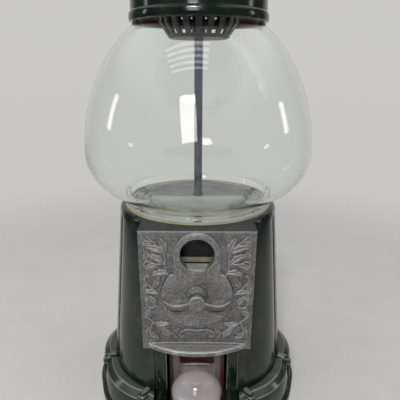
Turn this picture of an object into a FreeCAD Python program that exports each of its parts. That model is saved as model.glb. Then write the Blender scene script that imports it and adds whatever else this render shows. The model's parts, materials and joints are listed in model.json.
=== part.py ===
import FreeCAD, Part
import math
import os

# A table-top gumball machine, in millimetres.
# The origin is the middle of the surface it stands on, +Z is up and -Y is the front.

# Clearances
pin_clearance = 0.02
running_clearance = 0.05
loose_clearance = 0.3

# Foot
pad_thickness = 2.0
pad_inset = 2.0
pad_width = 7.0
foot_radius = 90.6
flange_overhang = 2.4
flange_height = 5.0
flange_groove = 1.2
foot_waist_swell = 0.4
foot_waist_z = 22.0
foot_bead_draw = 1.0
foot_bead_z = 30.0
foot_top_draw = 3.0
foot_top_z = 35.0
foot_groove = 3.6
foot_wall = 9.6
foot_web = 4.0
neck_outer_radius = 74.4
neck_inner_radius = 62.0
rib_width = 6.5
rib_draw = 0.8
rib_reach = 9.8
rib_top_z = 31.0
ledge_z = 26.0
threshold_z = 7.0
bottom_plate_thickness = 1.5
bottom_plate_seat = 2.0
bottom_plate_recess = 2.0
plug_hole_radius = 16.0
plug_lip = 2.0
plug_lip_thickness = 1.6

# Base casting: a tapering shell with seven round lobes and a flat front
body_bottom_z = 38.0
body_shoulder_z = 169.0
body_top_z = 178.0
body_bottom_radius = 78.0
body_shoulder_radius = 68.0
rim_radius = 64.6
groove_depth = 2.8
body_wall = 3.5
deck_thickness = 5.0
side_lobes = 7
front_half_angle = 31.0
panel_front_y = -59.0
panel_thickness = 8.0
recess_half_width = 34.4
mouth_half_width = 25.0
mouth_top_z = 83.0
mech_opening_half_width = 26.0
mech_opening_bottom_z = 92.0
body_boss_radius = 5.0
body_boss_height = 22.0
body_boss_circle = 67.5
lug_inner_x = 54.0
lug_height = 10.0

# Front plate, with the canopy lip over the mouth
plate_front_y = -75.0
plate_wall = 4.0
plate_top_width = 85.6
plate_bottom_width = 83.0
plate_bottom_z = 85.0
lip_half_width = 38.0
lip_reach = 11.5
lip_thickness = 4.5
plate_boss_radius = 3.6
plate_boss_x = 30.2
plate_boss_low_z = 88.6
plate_boss_high_z = 140.0

# Coin mechanism, on the handle's axis
axis_z = 129.0
escutcheon_thickness = 3.0
escutcheon_disc_radius = 26.6
escutcheon_ring_radius = 17.0
escutcheon_neck_half_width = 17.2
escutcheon_neck_height = 7.0
ear_radius = 3.2
window_z = 160.5
window_radius = 12.5
slot_bar_z = 154.4
slot_bar_height = 3.9
slot_bar_thickness = 1.5
slot_bar_overlap = 2.5
ramp_front_z = 149.6
ramp_back_z = 151.4
carrier_radius = 25.5
carrier_thickness = 4.0
carrier_gap = 2.0
coin_radius = 12.15
coin_notch_reach = 22.0
bushing_wall = 2.2
back_plate_thickness = 2.0
back_plate_half_width = 25.5
back_plate_bottom_z = 100.0
back_plate_top_z = 172.0
spacer_radius = 4.0
spacer_length = 7.5
spacer_x = 20.5
spacer_low_z = 105.0
spacer_high_z = 166.5

# Handle and what turns with it
shaft_radius = 4.0
shaft_rear_y = -8.4
hub_front_y = -91.6
hub_radius = 5.9
hub_base_radius = 8.0
hub_base_length = 6.0
wing_half_span = 25.2
wing_thickness = 4.6
wing_front_y = -89.0
wing_root_top = 3.4
wing_waist_x = 11.5
wing_waist_top = 0.9
wing_tip_top = 2.2
wing_belly_x = 15.5
wing_belly_drop = 8.0
wing_root_drop = 5.2
set_screw_radius = 1.6
pinion_teeth = 8
crown_teeth = 24
gear_module = 2.0
pinion_face = 5.0
gear_addendum = 2.0
gear_dedendum = 2.4
tooth_tip_half_width = 0.6
tooth_root_half_width = 1.5
ratchet_teeth = 12
ratchet_tip_radius = 13.0
ratchet_root_radius = 11.0
ratchet_thickness = 3.0
ratchet_face_angle = -2.0
pawl_pivot_x = 15.6
pawl_length = 17.6
pawl_eye_radius = 4.0
pawl_pin_radius = 2.0
pawl_arm_width = 3.8
pawl_nose_width = 2.2
spring_thickness = 0.5
spring_length = 17.0
spring_foot_length = 6.5
clip_thickness = 1.0
clip_radius = 6.4

# Bridge that carries the rod and the rear end of the shaft
bridge_half_length = 63.0
bridge_half_width = 8.0
bridge_bottom_z = 116.0
bridge_thickness = 6.0
bearing_front_y = -14.0
bearing_thickness = 4.0
bearing_half_width = 8.0
bearing_top_z = 136.5

# Hopper, gum wheel and baffle
ball_pocket_radius = 8.5
pocket_circle_radius = 48.0
pocket_count = 8
hopper_inner_radius = 56.5
hopper_wall = 2.0
hopper_floor_z = 160.0
hopper_floor_thickness = 3.0
hopper_flange_radius = 62.6
hopper_flange_thickness = 1.5
wheel_gap = 0.5
wheel_washer_thickness = 1.0
wheel_washer_radius = 22.0
wheel_ring_top_z = 176.3
wheel_cap_radius = 41.8
wheel_cap_top_z = 180.0
wheel_hub_radius = 12.0
crown_disc_thickness = 5.0
crown_radius = 28.0
gear_screw_circle = 8.0
baffle_z = 180.6
baffle_thickness = 1.4
baffle_radius = 44.0
baffle_arm_width = 5.0
baffle_leg_circle = 52.0
baffle_leg_radius = 3.0
baffle_leg_angles = (105.0, 180.0, 255.0)
baffle_lug_thickness = 1.2
wiper_thickness = 1.5

# Rod
rod_radius = 3.4
rod_bottom_z = 107.0
rod_top_z = 373.0
rod_nut_radius = 6.4
rod_nut_height = 5.5
rod_washer_radius = 8.0
rod_washer_thickness = 1.5

# Chute
chute_half_width = 16.0
chute_wall = 2.0
inlet_front_y = 38.5
inlet_rear_y = 56.5
roof_bend_z = 130.0
floor_bend_z = 132.0
mouth_y = -52.0
mouth_floor_z = 13.0
mouth_roof_z = 49.0
run_out_y = -40.0
run_out_z = 17.0
bezel_half_width = 23.0
bezel_top_z = 80.0
bezel_thickness = 2.0
chute_ear_reach = 10.0
chute_ear_depth = 16.0
chute_ear_thickness = 3.0

# Flap over the mouth
flap_half_width = 19.8
flap_thickness = 2.5
hinge_y = -55.5
hinge_z = 77.0
hinge_pin_radius = 1.5
knuckle_radius = 3.0
hinge_pin_bite = 5.0
dome_radius = 22.0
dome_wall = 2.2
dome_z = 31.0
dome_y = -60.0

# Globe
gasket_thickness = 1.5
gasket_inner_radius = 58.8
globe_foot_radius = 61.5
globe_foot_height = 5.0
globe_wall = 3.0
belly_radius = 93.0
belly_z = 222.0
globe_neck_radius = 50.0
globe_top_z = 330.0

# Lid
lid_rim_radius = 54.4
lid_rim_bottom_z = 322.0
lid_rim_height = 6.5
lid_band_radius = 52.6
lid_band_top_z = 342.0
lid_wall = 2.5
lid_skirt_wall = 1.5
lid_step_radius = 46.0
lid_step_rise = 3.0
lid_dome_top_z = 362.0
lid_boss_radius = 11.0
lid_boss_depth = 8.0
seal_thickness = 2.5
seal_skirt_bottom_z = 318.0
seal_skirt_wall = 2.5
seal_flange_inner_radius = 42.0
basket_bottom_z = 310.5
basket_bottom_radius = 21.0
basket_top_radius = 38.0
basket_wall = 1.8
basket_flange_thickness = 1.5
basket_tube_radius = 5.2
window_count = 8
window_width = 9.0
window_height = 5.0
nut_radius = 9.5
nut_height = 19.0
nut_collar_radius = 11.5
nut_collar_height = 3.0
nut_flutes = 10
nut_flute_radius = 1.6

# Screws
screw_shank_radius = 1.9
screw_head_radius = 3.6
screw_head_height = 1.8
small_shank_radius = 1.2
small_head_radius = 2.2
small_head_height = 1.3
screw_head_round = 0.45
screw_bite = 10.0
small_bite = 4.0

# Places worked out from the sizes above
flange_radius = foot_radius + flange_overhang
foot_waist_radius = foot_radius + foot_waist_swell
foot_bead_radius = foot_radius - foot_bead_draw
foot_top_radius = foot_radius - foot_top_draw
foot_cavity_radius = foot_radius - foot_wall
rib_outer_radius = foot_radius - rib_draw
rib_inner_radius = rib_outer_radius - rib_reach
bottom_plate_radius = foot_cavity_radius + bottom_plate_seat
pad_outer_radius = flange_radius - pad_inset
pad_inner_radius = pad_outer_radius - pad_width
foot_bottom_z = pad_thickness
flange_top_z = foot_bottom_z + flange_height
plate_back_z = foot_bottom_z + bottom_plate_recess
foot_web_z = foot_top_z - foot_web
bottom_plate_top_z = plate_back_z + bottom_plate_thickness
lobe_angle = (360.0 - 2 * front_half_angle) / side_lobes
panel_back_y = panel_front_y + panel_thickness
plate_inside_y = plate_front_y + plate_wall
escutcheon_front_y = plate_front_y - escutcheon_thickness
back_plate_front_y = plate_inside_y + spacer_length
back_plate_rear_y = back_plate_front_y + back_plate_thickness
carrier_front_y = plate_inside_y + carrier_gap
carrier_rear_y = carrier_front_y + carrier_thickness
ratchet_front_y = back_plate_rear_y + loose_clearance
ratchet_rear_y = ratchet_front_y + ratchet_thickness
pawl_pivot_z = axis_z + pawl_length
bridge_top_z = bridge_bottom_z + bridge_thickness
bearing_rear_y = bearing_front_y + bearing_thickness
pinion_pitch_radius = gear_module * pinion_teeth / 2
crown_pitch_radius = gear_module * crown_teeth / 2
pitch_plane_z = axis_z + pinion_pitch_radius
crown_root_z = pitch_plane_z + gear_dedendum
crown_tip_z = pitch_plane_z - gear_addendum
crown_top_z = crown_root_z + crown_disc_thickness
rod_bore = rod_radius + running_clearance
hopper_outer_radius = hopper_inner_radius + hopper_wall
hopper_under_z = hopper_floor_z - hopper_floor_thickness
wheel_bottom_z = hopper_floor_z + wheel_washer_thickness
wheel_radius = hopper_inner_radius - wheel_gap
globe_bottom_z = body_top_z + gasket_thickness
foot_high_z = globe_bottom_z + globe_foot_height
bowl_depth = (belly_z - foot_high_z) / math.sqrt(1 - (globe_foot_radius / belly_radius) ** 2)
neck_low_z = lid_rim_bottom_z - loose_clearance
crown_height = (neck_low_z - belly_z) / math.sqrt(1 - (globe_neck_radius / belly_radius) ** 2)
seal_top_z = globe_top_z + seal_thickness
basket_flange_top_z = seal_top_z + basket_flange_thickness
lid_inner_radius = lid_band_radius - lid_skirt_wall
nut_bottom_z = lid_dome_top_z
lip_bottom_z = plate_bottom_z - lip_thickness
deck_under_z = body_top_z - deck_thickness
body_slope = (body_bottom_radius - body_shoulder_radius) / (body_shoulder_z - body_bottom_z)

Vec = FreeCAD.Vector
UP = Vec(0, 0, 1)
DOWN = Vec(0, 0, -1)
BACK = Vec(0, 1, 0)
FRONT = Vec(0, -1, 0)
RIGHT = Vec(1, 0, 0)
CENTRE = Vec(0, 0, 0)


def block(x0, x1, y0, y1, z0, z1):
    """A box between two corners."""
    return Part.makeBox(x1 - x0, y1 - y0, z1 - z0, Vec(x0, y0, z0))


def post(radius, z0, z1, x=0.0, y=0.0):
    """An upright cylinder."""
    return Part.makeCylinder(radius, z1 - z0, Vec(x, y, z0), UP)


def spindle(radius, y0, y1, x=0.0, z=axis_z):
    """A cylinder that lies along Y."""
    return Part.makeCylinder(radius, y1 - y0, Vec(x, y0, z), BACK)


def bar(radius, x0, x1, y, z):
    """A cylinder that lies along X."""
    return Part.makeCylinder(radius, x1 - x0, Vec(x0, y, z), RIGHT)


def ring(outer, inner, z0, z1):
    """An upright tube."""
    return post(outer, z0, z1).cut(post(inner, z0, z1))


def around(azimuth, radius, z):
    """A point at an azimuth from the front, counted towards +X."""
    angle = math.radians(azimuth)
    return Vec(radius * math.sin(angle), -radius * math.cos(angle), z)


def fused(shapes):
    """One solid out of several."""
    first, *rest = shapes
    return first.fuse(rest).removeSplitter()


def group(shapes):
    """Separate solids in one node."""
    return Part.makeCompound(shapes)


def turned(points):
    """A solid of revolution about Z from a closed outline of (radius, z) points."""
    corners = [Vec(radius, 0, z) for radius, z in points]
    return turned_wire(Part.makePolygon(corners + corners[:1]))


def turned_wire(wire):
    """A solid of revolution about Z from a closed wire in the XZ plane."""
    return Part.Face(wire).revolve(CENTRE, UP, 360)


def prism_along_x(points, half_width):
    """A block with a closed outline of (y, z) points, centred on X."""
    corners = [Vec(-half_width, y, z) for y, z in points]
    face = Part.Face(Part.makePolygon(corners + corners[:1]))
    return face.extrude(RIGHT * (2 * half_width))


def prism_along_y(points, y0, y1):
    """A plate with a closed outline of (x, z) points."""
    corners = [Vec(x, y0, z) for x, z in points]
    face = Part.Face(Part.makePolygon(corners + corners[:1]))
    return face.extrude(BACK * (y1 - y0))


def screw(seat, drive, bite, shank, head, height):
    """A pan-head screw: its head stands on the seat and its shank runs along the drive."""
    stem = Part.makeCylinder(shank, bite, seat, drive)
    cap = Part.makeCylinder(head, height, seat, drive * -1)
    rims = [edge for edge in cap.Edges if edge.Closed]
    crown = max(rims, key=lambda edge: edge.CenterOfMass.distanceToPoint(seat))
    return cap.makeFillet(height * screw_head_round, [crown]).fuse(stem).removeSplitter()


def large_screw(seat, drive):
    return screw(seat, drive, screw_bite, screw_shank_radius, screw_head_radius, screw_head_height)


def small_screw(seat, drive):
    return screw(seat, drive, small_bite, small_shank_radius, small_head_radius, small_head_height)


def hole(seat, drive, shank, bite):
    """The hole for a screw, a little longer than the screw's bite at both ends."""
    start = seat - drive * loose_clearance
    return Part.makeCylinder(shank + pin_clearance, bite + 2 * loose_clearance, start, drive)


def screw_hole(seat, drive):
    return hole(seat, drive, screw_shank_radius, screw_bite)


def small_hole(seat, drive):
    return hole(seat, drive, small_shank_radius, small_bite)


# Lobed plan, shared by the base casting and the foot

def groove_angles():
    """Azimuths of the grooves, starting at the right of the flat front."""
    return [front_half_angle + lobe_angle * i for i in range(side_lobes + 1)]


def lobed_wire(crest, depth, z):
    """A closed plan of arcs that meet in grooves."""
    grooves = groove_angles()
    spans = [(-front_half_angle, front_half_angle)] + list(zip(grooves[:-1], grooves[1:]))
    arcs = []
    for start, end in spans:
        middle = (start + end) / 2
        ends = around(start, crest - depth, z), around(middle, crest, z), around(end, crest - depth, z)
        arcs.append(Part.Arc(*ends).toShape())
    return Part.Wire(arcs)


def lobed_loft(sections, ruled=True):
    """A solid through lobed plans given as (crest, depth, z)."""
    return Part.makeLoft([lobed_wire(*section) for section in sections], True, ruled)


def body_crest(z):
    """Crest radius of the straight part of the casting at a height."""
    return body_bottom_radius - body_slope * (z - body_bottom_z)


def body_envelope():
    """The casting's outside, with a rounded shoulder up to the rim."""
    straight = lobed_loft([
        (body_bottom_radius, groove_depth, body_bottom_z),
        (body_shoulder_radius, groove_depth, body_shoulder_z),
    ])
    rise = body_top_z - body_shoulder_z
    inset = body_shoulder_radius - rim_radius
    shoulder = []
    for step in (0.0, 0.45, 0.8, 1.0):
        drop = 1 - math.sqrt(1 - step * step)
        crest = body_shoulder_radius - inset * drop
        shoulder.append((crest, groove_depth * (1 - step), body_shoulder_z + rise * step))
    return fused([straight, lobed_loft(shoulder, ruled=False)])


def front_recess():
    """Cut that flattens the front between its two grooves."""
    return block(-recess_half_width, recess_half_width, -flange_radius, panel_front_y, 0, deck_under_z)


# Base

def foot_pad():
    return ring(pad_outer_radius, pad_inner_radius, 0, pad_thickness)


def foot_screw_seats():
    """Where the screws that hold the foot to the casting stand."""
    angles = [front_half_angle + lobe_angle, front_half_angle + 3 * lobe_angle]
    return [around(side * angle, body_boss_circle, foot_web_z) for angle in angles for side in (1, -1)]


def plate_screw_seats():
    """Where the bottom plate's screws stand."""
    angles = [front_half_angle + lobe_angle * 0.5, front_half_angle + lobe_angle * 2.5]
    circle = foot_cavity_radius - body_boss_radius / 2
    return [around(side * angle, circle, plate_back_z) for angle in angles for side in (1, -1)]


def foot_outside():
    """The foot's lobed outside: a flange, a swelling side and a beaded top."""
    flange = lobed_loft([
        (flange_radius, flange_groove, foot_bottom_z),
        (flange_radius, flange_groove, flange_top_z),
    ])
    side = lobed_loft([
        (foot_radius, foot_groove, flange_top_z),
        (foot_waist_radius, foot_groove, foot_waist_z),
        (foot_bead_radius, foot_groove, foot_bead_z),
        (foot_top_radius, foot_groove, foot_top_z),
    ])
    return fused([flange, side])


def foot_ring():
    """The cast foot, open at the front for the mouth."""
    outside = foot_outside()
    ribs = []
    for angle in groove_angles():
        half = rib_width / 2
        rib = block(-half, half, -rib_outer_radius, -rib_inner_radius, foot_bottom_z, rib_top_z)
        ribs.append(rib.rotate(CENTRE, UP, angle))
    shell = fused([outside] + ribs)
    shell = shell.cut([
        post(foot_cavity_radius, bottom_plate_top_z, foot_web_z),
        post(bottom_plate_radius + loose_clearance, 0, bottom_plate_top_z),
        post(neck_inner_radius, foot_web_z, foot_top_z),
    ])
    neck = ring(neck_outer_radius, neck_inner_radius, foot_web_z, body_bottom_z)
    pillars = []
    for seat in plate_screw_seats():
        pillars.append(post(body_boss_radius, bottom_plate_top_z, foot_web_z, seat.x, seat.y))
    shell = fused([shell, neck] + pillars)
    notch = recess_half_width + loose_clearance
    front_y, inner_y = -2 * flange_radius, -foot_cavity_radius
    shell = shell.cut([
        block(-notch, notch, front_y, 0, ledge_z, body_top_z),
        block(-mouth_half_width, mouth_half_width, front_y, 0, threshold_z, body_top_z),
    ])
    cheek = block(mouth_half_width, recess_half_width, inner_y, panel_back_y, bottom_plate_top_z, ledge_z)
    sill = block(-mouth_half_width, mouth_half_width, inner_y, panel_back_y, bottom_plate_top_z, threshold_z)
    front = [piece.common(outside) for piece in (cheek, cheek.mirror(CENTRE, RIGHT), sill)]
    holes = [screw_hole(seat, UP) for seat in foot_screw_seats() + plate_screw_seats()]
    return fused([shell] + front).cut(holes)


def bottom_plate():
    plate = post(bottom_plate_radius, plate_back_z, bottom_plate_top_z)
    holes = [screw_hole(seat, UP) for seat in plate_screw_seats()]
    return plate.cut([post(plug_hole_radius, 0, body_bottom_z)] + holes)


def coin_plug():
    """A rubber plug that closes the hole the coins are emptied through."""
    return turned([
        (0, plate_back_z - plug_lip_thickness),
        (plug_hole_radius + plug_lip, plate_back_z - plug_lip_thickness),
        (plug_hole_radius + plug_lip, plate_back_z),
        (plug_hole_radius - pin_clearance, plate_back_z),
        (plug_hole_radius - pin_clearance, bottom_plate_top_z),
        (plug_hole_radius + plug_lip / 2, bottom_plate_top_z),
        (plug_hole_radius - plug_lip, bottom_plate_top_z + plug_lip_thickness),
        (0, bottom_plate_top_z + plug_lip_thickness),
    ])


def bottom_screws():
    return group([large_screw(seat, UP) for seat in plate_screw_seats()])


def foot_screws():
    return group([large_screw(seat, UP) for seat in foot_screw_seats()])


def bridge_screw_seats():
    inset = (lug_inner_x + bridge_half_length) / 2
    return [Vec(side * inset, 0, bridge_top_z) for side in (1, -1)]


def plate_boss_places():
    heights = plate_boss_low_z, plate_boss_high_z
    return [Vec(side * plate_boss_x, panel_back_y, z) for z in heights for side in (1, -1)]


def base_body():
    """The hollow base casting with its deck, flat front, pilasters, bosses and lugs."""
    envelope = body_envelope()
    cavity = lobed_loft([
        (body_bottom_radius - body_wall + body_slope, groove_depth, body_bottom_z - 1),
        (body_crest(deck_under_z) - body_wall, groove_depth, deck_under_z),
    ])
    panel = block(-body_bottom_radius, body_bottom_radius, panel_front_y, panel_back_y,
                  body_bottom_z, deck_under_z)
    bosses = []
    for seat in foot_screw_seats():
        bosses.append(post(body_boss_radius, body_bottom_z, body_bottom_z + body_boss_height, seat.x, seat.y))
    lug = block(lug_inner_x, body_bottom_radius, -bridge_half_width, bridge_half_width,
                bridge_bottom_z - lug_height, bridge_bottom_z)
    inner = [piece.common(envelope) for piece in (panel, lug, lug.mirror(CENTRE, RIGHT))]
    shell = fused([envelope.cut(cavity)] + inner + bosses)
    foot = block(mouth_half_width, recess_half_width, panel_front_y, panel_back_y, ledge_z, body_bottom_z)
    shell = fused([shell.cut(front_recess()), foot, foot.mirror(CENTRE, RIGHT)])
    cuts = [
        block(-mouth_half_width, mouth_half_width, -flange_radius, panel_back_y, 0, mouth_top_z),
        block(-mech_opening_half_width, mech_opening_half_width, -flange_radius, panel_back_y,
              mech_opening_bottom_z, deck_under_z),
        post(hopper_outer_radius + loose_clearance, hopper_under_z - loose_clearance, body_top_z),
        post(hopper_flange_radius + loose_clearance, body_top_z - hopper_flange_thickness, body_top_z),
        bar(hinge_pin_radius + pin_clearance, -mouth_half_width - hinge_pin_bite,
            mouth_half_width + hinge_pin_bite, hinge_y, hinge_z),
    ]
    cuts += [screw_hole(seat, UP) for seat in foot_screw_seats()]
    cuts += [screw_hole(seat, DOWN) for seat in bridge_screw_seats()]
    cuts += [plate_screw_hole(place) for place in plate_boss_places()]
    return shell.cut(cuts)


# Front plate and coin mechanism

def plate_screw_hole(place):
    """The hole of a long screw that holds the front plate, from inside the casting."""
    length = panel_thickness + screw_bite
    front = place.y - length - loose_clearance
    return spindle(screw_shank_radius + pin_clearance, front, place.y + loose_clearance, place.x, place.z)


def plate_screws():
    bite = panel_thickness + screw_bite
    return group([
        screw(place, FRONT, bite, screw_shank_radius, screw_head_radius, screw_head_height)
        for place in plate_boss_places()
    ])


def spacer_places():
    return [Vec(side * spacer_x, 0, z) for z in (spacer_low_z, spacer_high_z) for side in (1, -1)]


def front_plate():
    """The cast box that stands proud of the casting, with its half-moon lip."""
    def outline(inset):
        top, bottom = plate_top_width / 2 - inset, plate_bottom_width / 2 - inset
        low, high = lip_bottom_z + inset, body_top_z - inset
        return [(-bottom, low), (bottom, low), (top, high), (-top, high)]

    box = prism_along_y(outline(0), plate_front_y, 0)
    inside = prism_along_y(outline(plate_wall), plate_inside_y, 0)
    corner = Vec(lip_half_width, plate_front_y, lip_bottom_z)
    other = Vec(-lip_half_width, plate_front_y, lip_bottom_z)
    bow = Part.Arc(corner, Vec(0, plate_front_y - lip_reach, lip_bottom_z), other).toShape()
    lip = Part.Face(Part.Wire([bow, Part.makeLine(other, corner)])).extrude(UP * lip_thickness)
    lip_rim = [edge for edge in lip.Edges if edge.Curve.TypeId == "Part::GeomCircle"]
    lip = lip.makeFillet(lip_thickness * 0.4, lip_rim)
    bosses = []
    for place in plate_boss_places():
        bosses.append(spindle(plate_boss_radius, plate_inside_y, panel_front_y, place.x, place.z))
    casting = fused([box.cut(inside), lip] + bosses)
    body_outside = body_envelope().cut(front_recess())
    keep_out = block(-flange_radius, flange_radius, panel_front_y, flange_radius, 0, mouth_top_z)
    cuts = [
        body_outside,
        keep_out,
        spindle(window_radius, plate_front_y, plate_inside_y, 0, window_z),
        spindle(shaft_radius + bushing_wall + pin_clearance, plate_front_y, plate_inside_y),
    ]
    cuts += [plate_screw_hole(place) for place in plate_boss_places()]
    cuts += [mech_screw_hole(place) for place in spacer_places()]
    pieces = casting.cut(cuts).Solids
    return max(pieces, key=lambda solid: solid.Volume)


def escutcheon():
    """The raised coin face: a ring round the window over a disc round the handle."""
    y0, y1 = escutcheon_front_y, plate_front_y
    neck_z = (axis_z + escutcheon_disc_radius + window_z - escutcheon_ring_radius) / 2
    neck = block(-escutcheon_neck_half_width, escutcheon_neck_half_width, y0, y1,
                 neck_z - escutcheon_neck_height / 2, neck_z + escutcheon_neck_height / 2)
    ears = [spindle(ear_radius, y0, y1, side * escutcheon_neck_half_width, neck_z) for side in (1, -1)]
    face = fused([
        spindle(escutcheon_disc_radius, y0, y1),
        spindle(escutcheon_ring_radius, y0, y1, 0, window_z),
        neck,
    ] + ears)
    return face.cut([
        spindle(window_radius, y0, y1, 0, window_z),
        spindle(shaft_radius + bushing_wall + pin_clearance, y0, y1),
    ])


def coin_ramp():
    """The sloped lower lip of the coin slot, set in the window."""
    y0, y1 = escutcheon_front_y, plate_inside_y
    low = window_z - window_radius
    wedge = prism_along_x([(y0, low), (y1, low), (y1, ramp_back_z), (y0, ramp_front_z)], window_radius)
    return spindle(window_radius - pin_clearance, y0, y1, 0, window_z).common(wedge)


def slot_bar():
    """The bar over the coin slot, behind the window."""
    drop = window_z - slot_bar_z
    half = math.sqrt(window_radius ** 2 - drop ** 2) + slot_bar_overlap
    return block(-half, half, plate_inside_y, plate_inside_y + slot_bar_thickness,
                 slot_bar_z - slot_bar_height / 2, slot_bar_z + slot_bar_height / 2)


def shaft_bushing():
    tube = spindle(shaft_radius + bushing_wall, escutcheon_front_y, plate_inside_y)
    return tube.cut(spindle(shaft_radius + running_clearance, escutcheon_front_y, plate_inside_y))


def mech_screw_hole(place):
    return screw_hole(Vec(place.x, back_plate_rear_y, place.z), FRONT)


def mech_back_plate():
    plate = block(-back_plate_half_width, back_plate_half_width, back_plate_front_y, back_plate_rear_y,
                  back_plate_bottom_z, back_plate_top_z)
    holes = [mech_screw_hole(place) for place in spacer_places()]
    holes.append(spindle(shaft_radius + loose_clearance, back_plate_front_y, back_plate_rear_y))
    holes.append(spindle(pawl_pin_radius + pin_clearance, back_plate_front_y, back_plate_rear_y,
                         pawl_pivot_x, pawl_pivot_z))
    return plate.cut(holes)


def mech_spacers():
    tubes = []
    for place in spacer_places():
        tube = spindle(spacer_radius, plate_inside_y, back_plate_front_y, place.x, place.z)
        tubes.append(tube.cut(mech_screw_hole(place)))
    return group(tubes)


def mech_screws():
    return group([large_screw(Vec(place.x, back_plate_rear_y, place.z), FRONT) for place in spacer_places()])


def coin_carrier():
    """The disc behind the plate that carries a coin round in its notch."""
    disc = spindle(carrier_radius, carrier_front_y, carrier_rear_y)
    notch_z = axis_z + coin_notch_reach
    notch = spindle(coin_radius + loose_clearance, carrier_front_y, carrier_rear_y, 0, notch_z)
    return disc.cut([notch, spindle(shaft_radius + pin_clearance, carrier_front_y, carrier_rear_y)])


def ratchet_wheel():
    """A saw-toothed wheel that lets the handle turn one way."""
    corners = []
    for tooth in range(ratchet_teeth):
        angle = math.radians(ratchet_face_angle + 360.0 * tooth / ratchet_teeth)
        for radius in (ratchet_tip_radius, ratchet_root_radius):
            corners.append((radius * math.cos(angle), axis_z + radius * math.sin(angle)))
    wheel = prism_along_y(corners, ratchet_front_y, ratchet_rear_y)
    return wheel.cut(spindle(shaft_radius + pin_clearance, ratchet_front_y, ratchet_rear_y))


def pawl():
    """A hanging arm whose nose drops between the ratchet's teeth."""
    nose_x = ratchet_tip_radius + 1.5 * loose_clearance
    eye = spindle(pawl_eye_radius, ratchet_front_y, ratchet_rear_y, pawl_pivot_x, pawl_pivot_z)
    outer = pawl_pivot_x + pawl_arm_width / 2
    arm = prism_along_y([
        (nose_x, axis_z),
        (nose_x + pawl_nose_width, axis_z),
        (outer, axis_z + pawl_arm_width),
        (outer, pawl_pivot_z),
        (outer - pawl_arm_width, pawl_pivot_z),
        (outer - pawl_arm_width, axis_z + 2 * pawl_arm_width),
    ], ratchet_front_y, ratchet_rear_y)
    bore = spindle(pawl_pin_radius + running_clearance, ratchet_front_y, ratchet_rear_y,
                   pawl_pivot_x, pawl_pivot_z)
    return fused([eye, arm]).cut(bore)


def pawl_pin():
    """The pawl's pivot, riveted in the back plate."""
    head_y = ratchet_rear_y + loose_clearance
    stem = spindle(pawl_pin_radius, back_plate_front_y, head_y, pawl_pivot_x, pawl_pivot_z)
    head = spindle(pawl_eye_radius * 0.8, head_y, head_y + clip_thickness, pawl_pivot_x, pawl_pivot_z)
    return fused([stem, head])


def pawl_spring():
    """A leaf of spring strip that presses the pawl's arm towards the ratchet."""
    x0 = pawl_pivot_x + pawl_eye_radius + loose_clearance
    top = pawl_pivot_z + pawl_eye_radius
    strip = block(x0, x0 + spring_thickness, back_plate_rear_y, ratchet_rear_y, top - spring_length, top)
    foot = block(x0, x0 + spring_foot_length - spring_thickness, back_plate_rear_y,
                 back_plate_rear_y + spring_thickness, top - spring_foot_length, top)
    reach = pawl_pivot_x + pawl_arm_width / 2 + loose_clearance
    tongue = block(reach, x0, ratchet_front_y + loose_clearance, ratchet_rear_y,
                   top - spring_length, top - spring_length + spring_thickness)
    return fused([strip, foot, tongue])


def wing_outline():
    """Half of the wing's edge on +X, from the hub's top round the tip to the hub's underside."""
    tip = wing_half_span
    upper = Part.BSplineCurve()
    upper.interpolate([
        Vec(0, 0, wing_root_top),
        Vec(wing_waist_x, 0, wing_waist_top),
        Vec(tip - wing_thickness / 2, 0, wing_tip_top),
    ])
    lower = Part.BSplineCurve()
    lower.interpolate([
        Vec(tip - wing_thickness / 2, 0, wing_tip_top),
        Vec(tip, 0, 0),
        Vec(wing_belly_x, 0, -wing_belly_drop),
        Vec(0, 0, -wing_root_drop),
    ])
    axis = Part.makeLine(Vec(0, 0, -wing_root_drop), Vec(0, 0, wing_root_top))
    return Part.Wire([upper.toShape(), lower.toShape(), axis])


def wing_handle():
    """The cast handle: a hub with two curled wings."""
    half = Part.Face(wing_outline()).extrude(BACK * wing_thickness)
    half.translate(Vec(0, wing_front_y, axis_z))
    hub_rear_y = escutcheon_front_y - loose_clearance
    hub = spindle(hub_radius, hub_front_y, hub_rear_y)
    collar = spindle(hub_base_radius, hub_rear_y - hub_base_length, hub_rear_y)
    handle = fused([half, half.mirror(CENTRE, RIGHT), hub, collar])
    return handle.cut([
        spindle(shaft_radius + pin_clearance, wing_front_y, hub_rear_y),
        set_screw_shape(set_screw_radius + pin_clearance),
    ])


def set_screw_shape(radius):
    y = escutcheon_front_y - loose_clearance - hub_base_length / 2
    length = hub_base_radius - shaft_radius - pin_clearance
    return Part.makeCylinder(radius, length, Vec(0, y, axis_z - hub_base_radius), UP)


def handle_set_screw():
    shape = set_screw_shape(set_screw_radius)
    return shape.common(spindle(hub_base_radius, hub_front_y, escutcheon_front_y)).cut(
        spindle(shaft_radius + pin_clearance, hub_front_y, escutcheon_front_y))


def handle_shaft():
    return spindle(shaft_radius, wing_front_y, shaft_rear_y)


def gear_tooth(root, tip):
    """Tooth outline of (across, along) points between two distances."""
    return [
        (-tooth_root_half_width, root),
        (tooth_root_half_width, root),
        (tooth_tip_half_width, tip),
        (-tooth_tip_half_width, tip),
    ]


def drive_pinion():
    """The small gear on the shaft, under the crown gear's front."""
    y0 = -crown_pitch_radius - pinion_face / 2
    y1 = y0 + pinion_face
    root = pinion_pitch_radius - gear_dedendum
    blanks = [spindle(root, y0, y1)]
    for tooth in range(pinion_teeth):
        outline = gear_tooth(root - loose_clearance, pinion_pitch_radius + gear_addendum)
        shape = prism_along_y([(x, axis_z + z) for x, z in outline], y0, y1)
        blanks.append(shape.rotate(Vec(0, 0, axis_z), BACK, 360.0 * tooth / pinion_teeth))
    return fused(blanks).cut(spindle(shaft_radius + pin_clearance, y0, y1))


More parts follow.
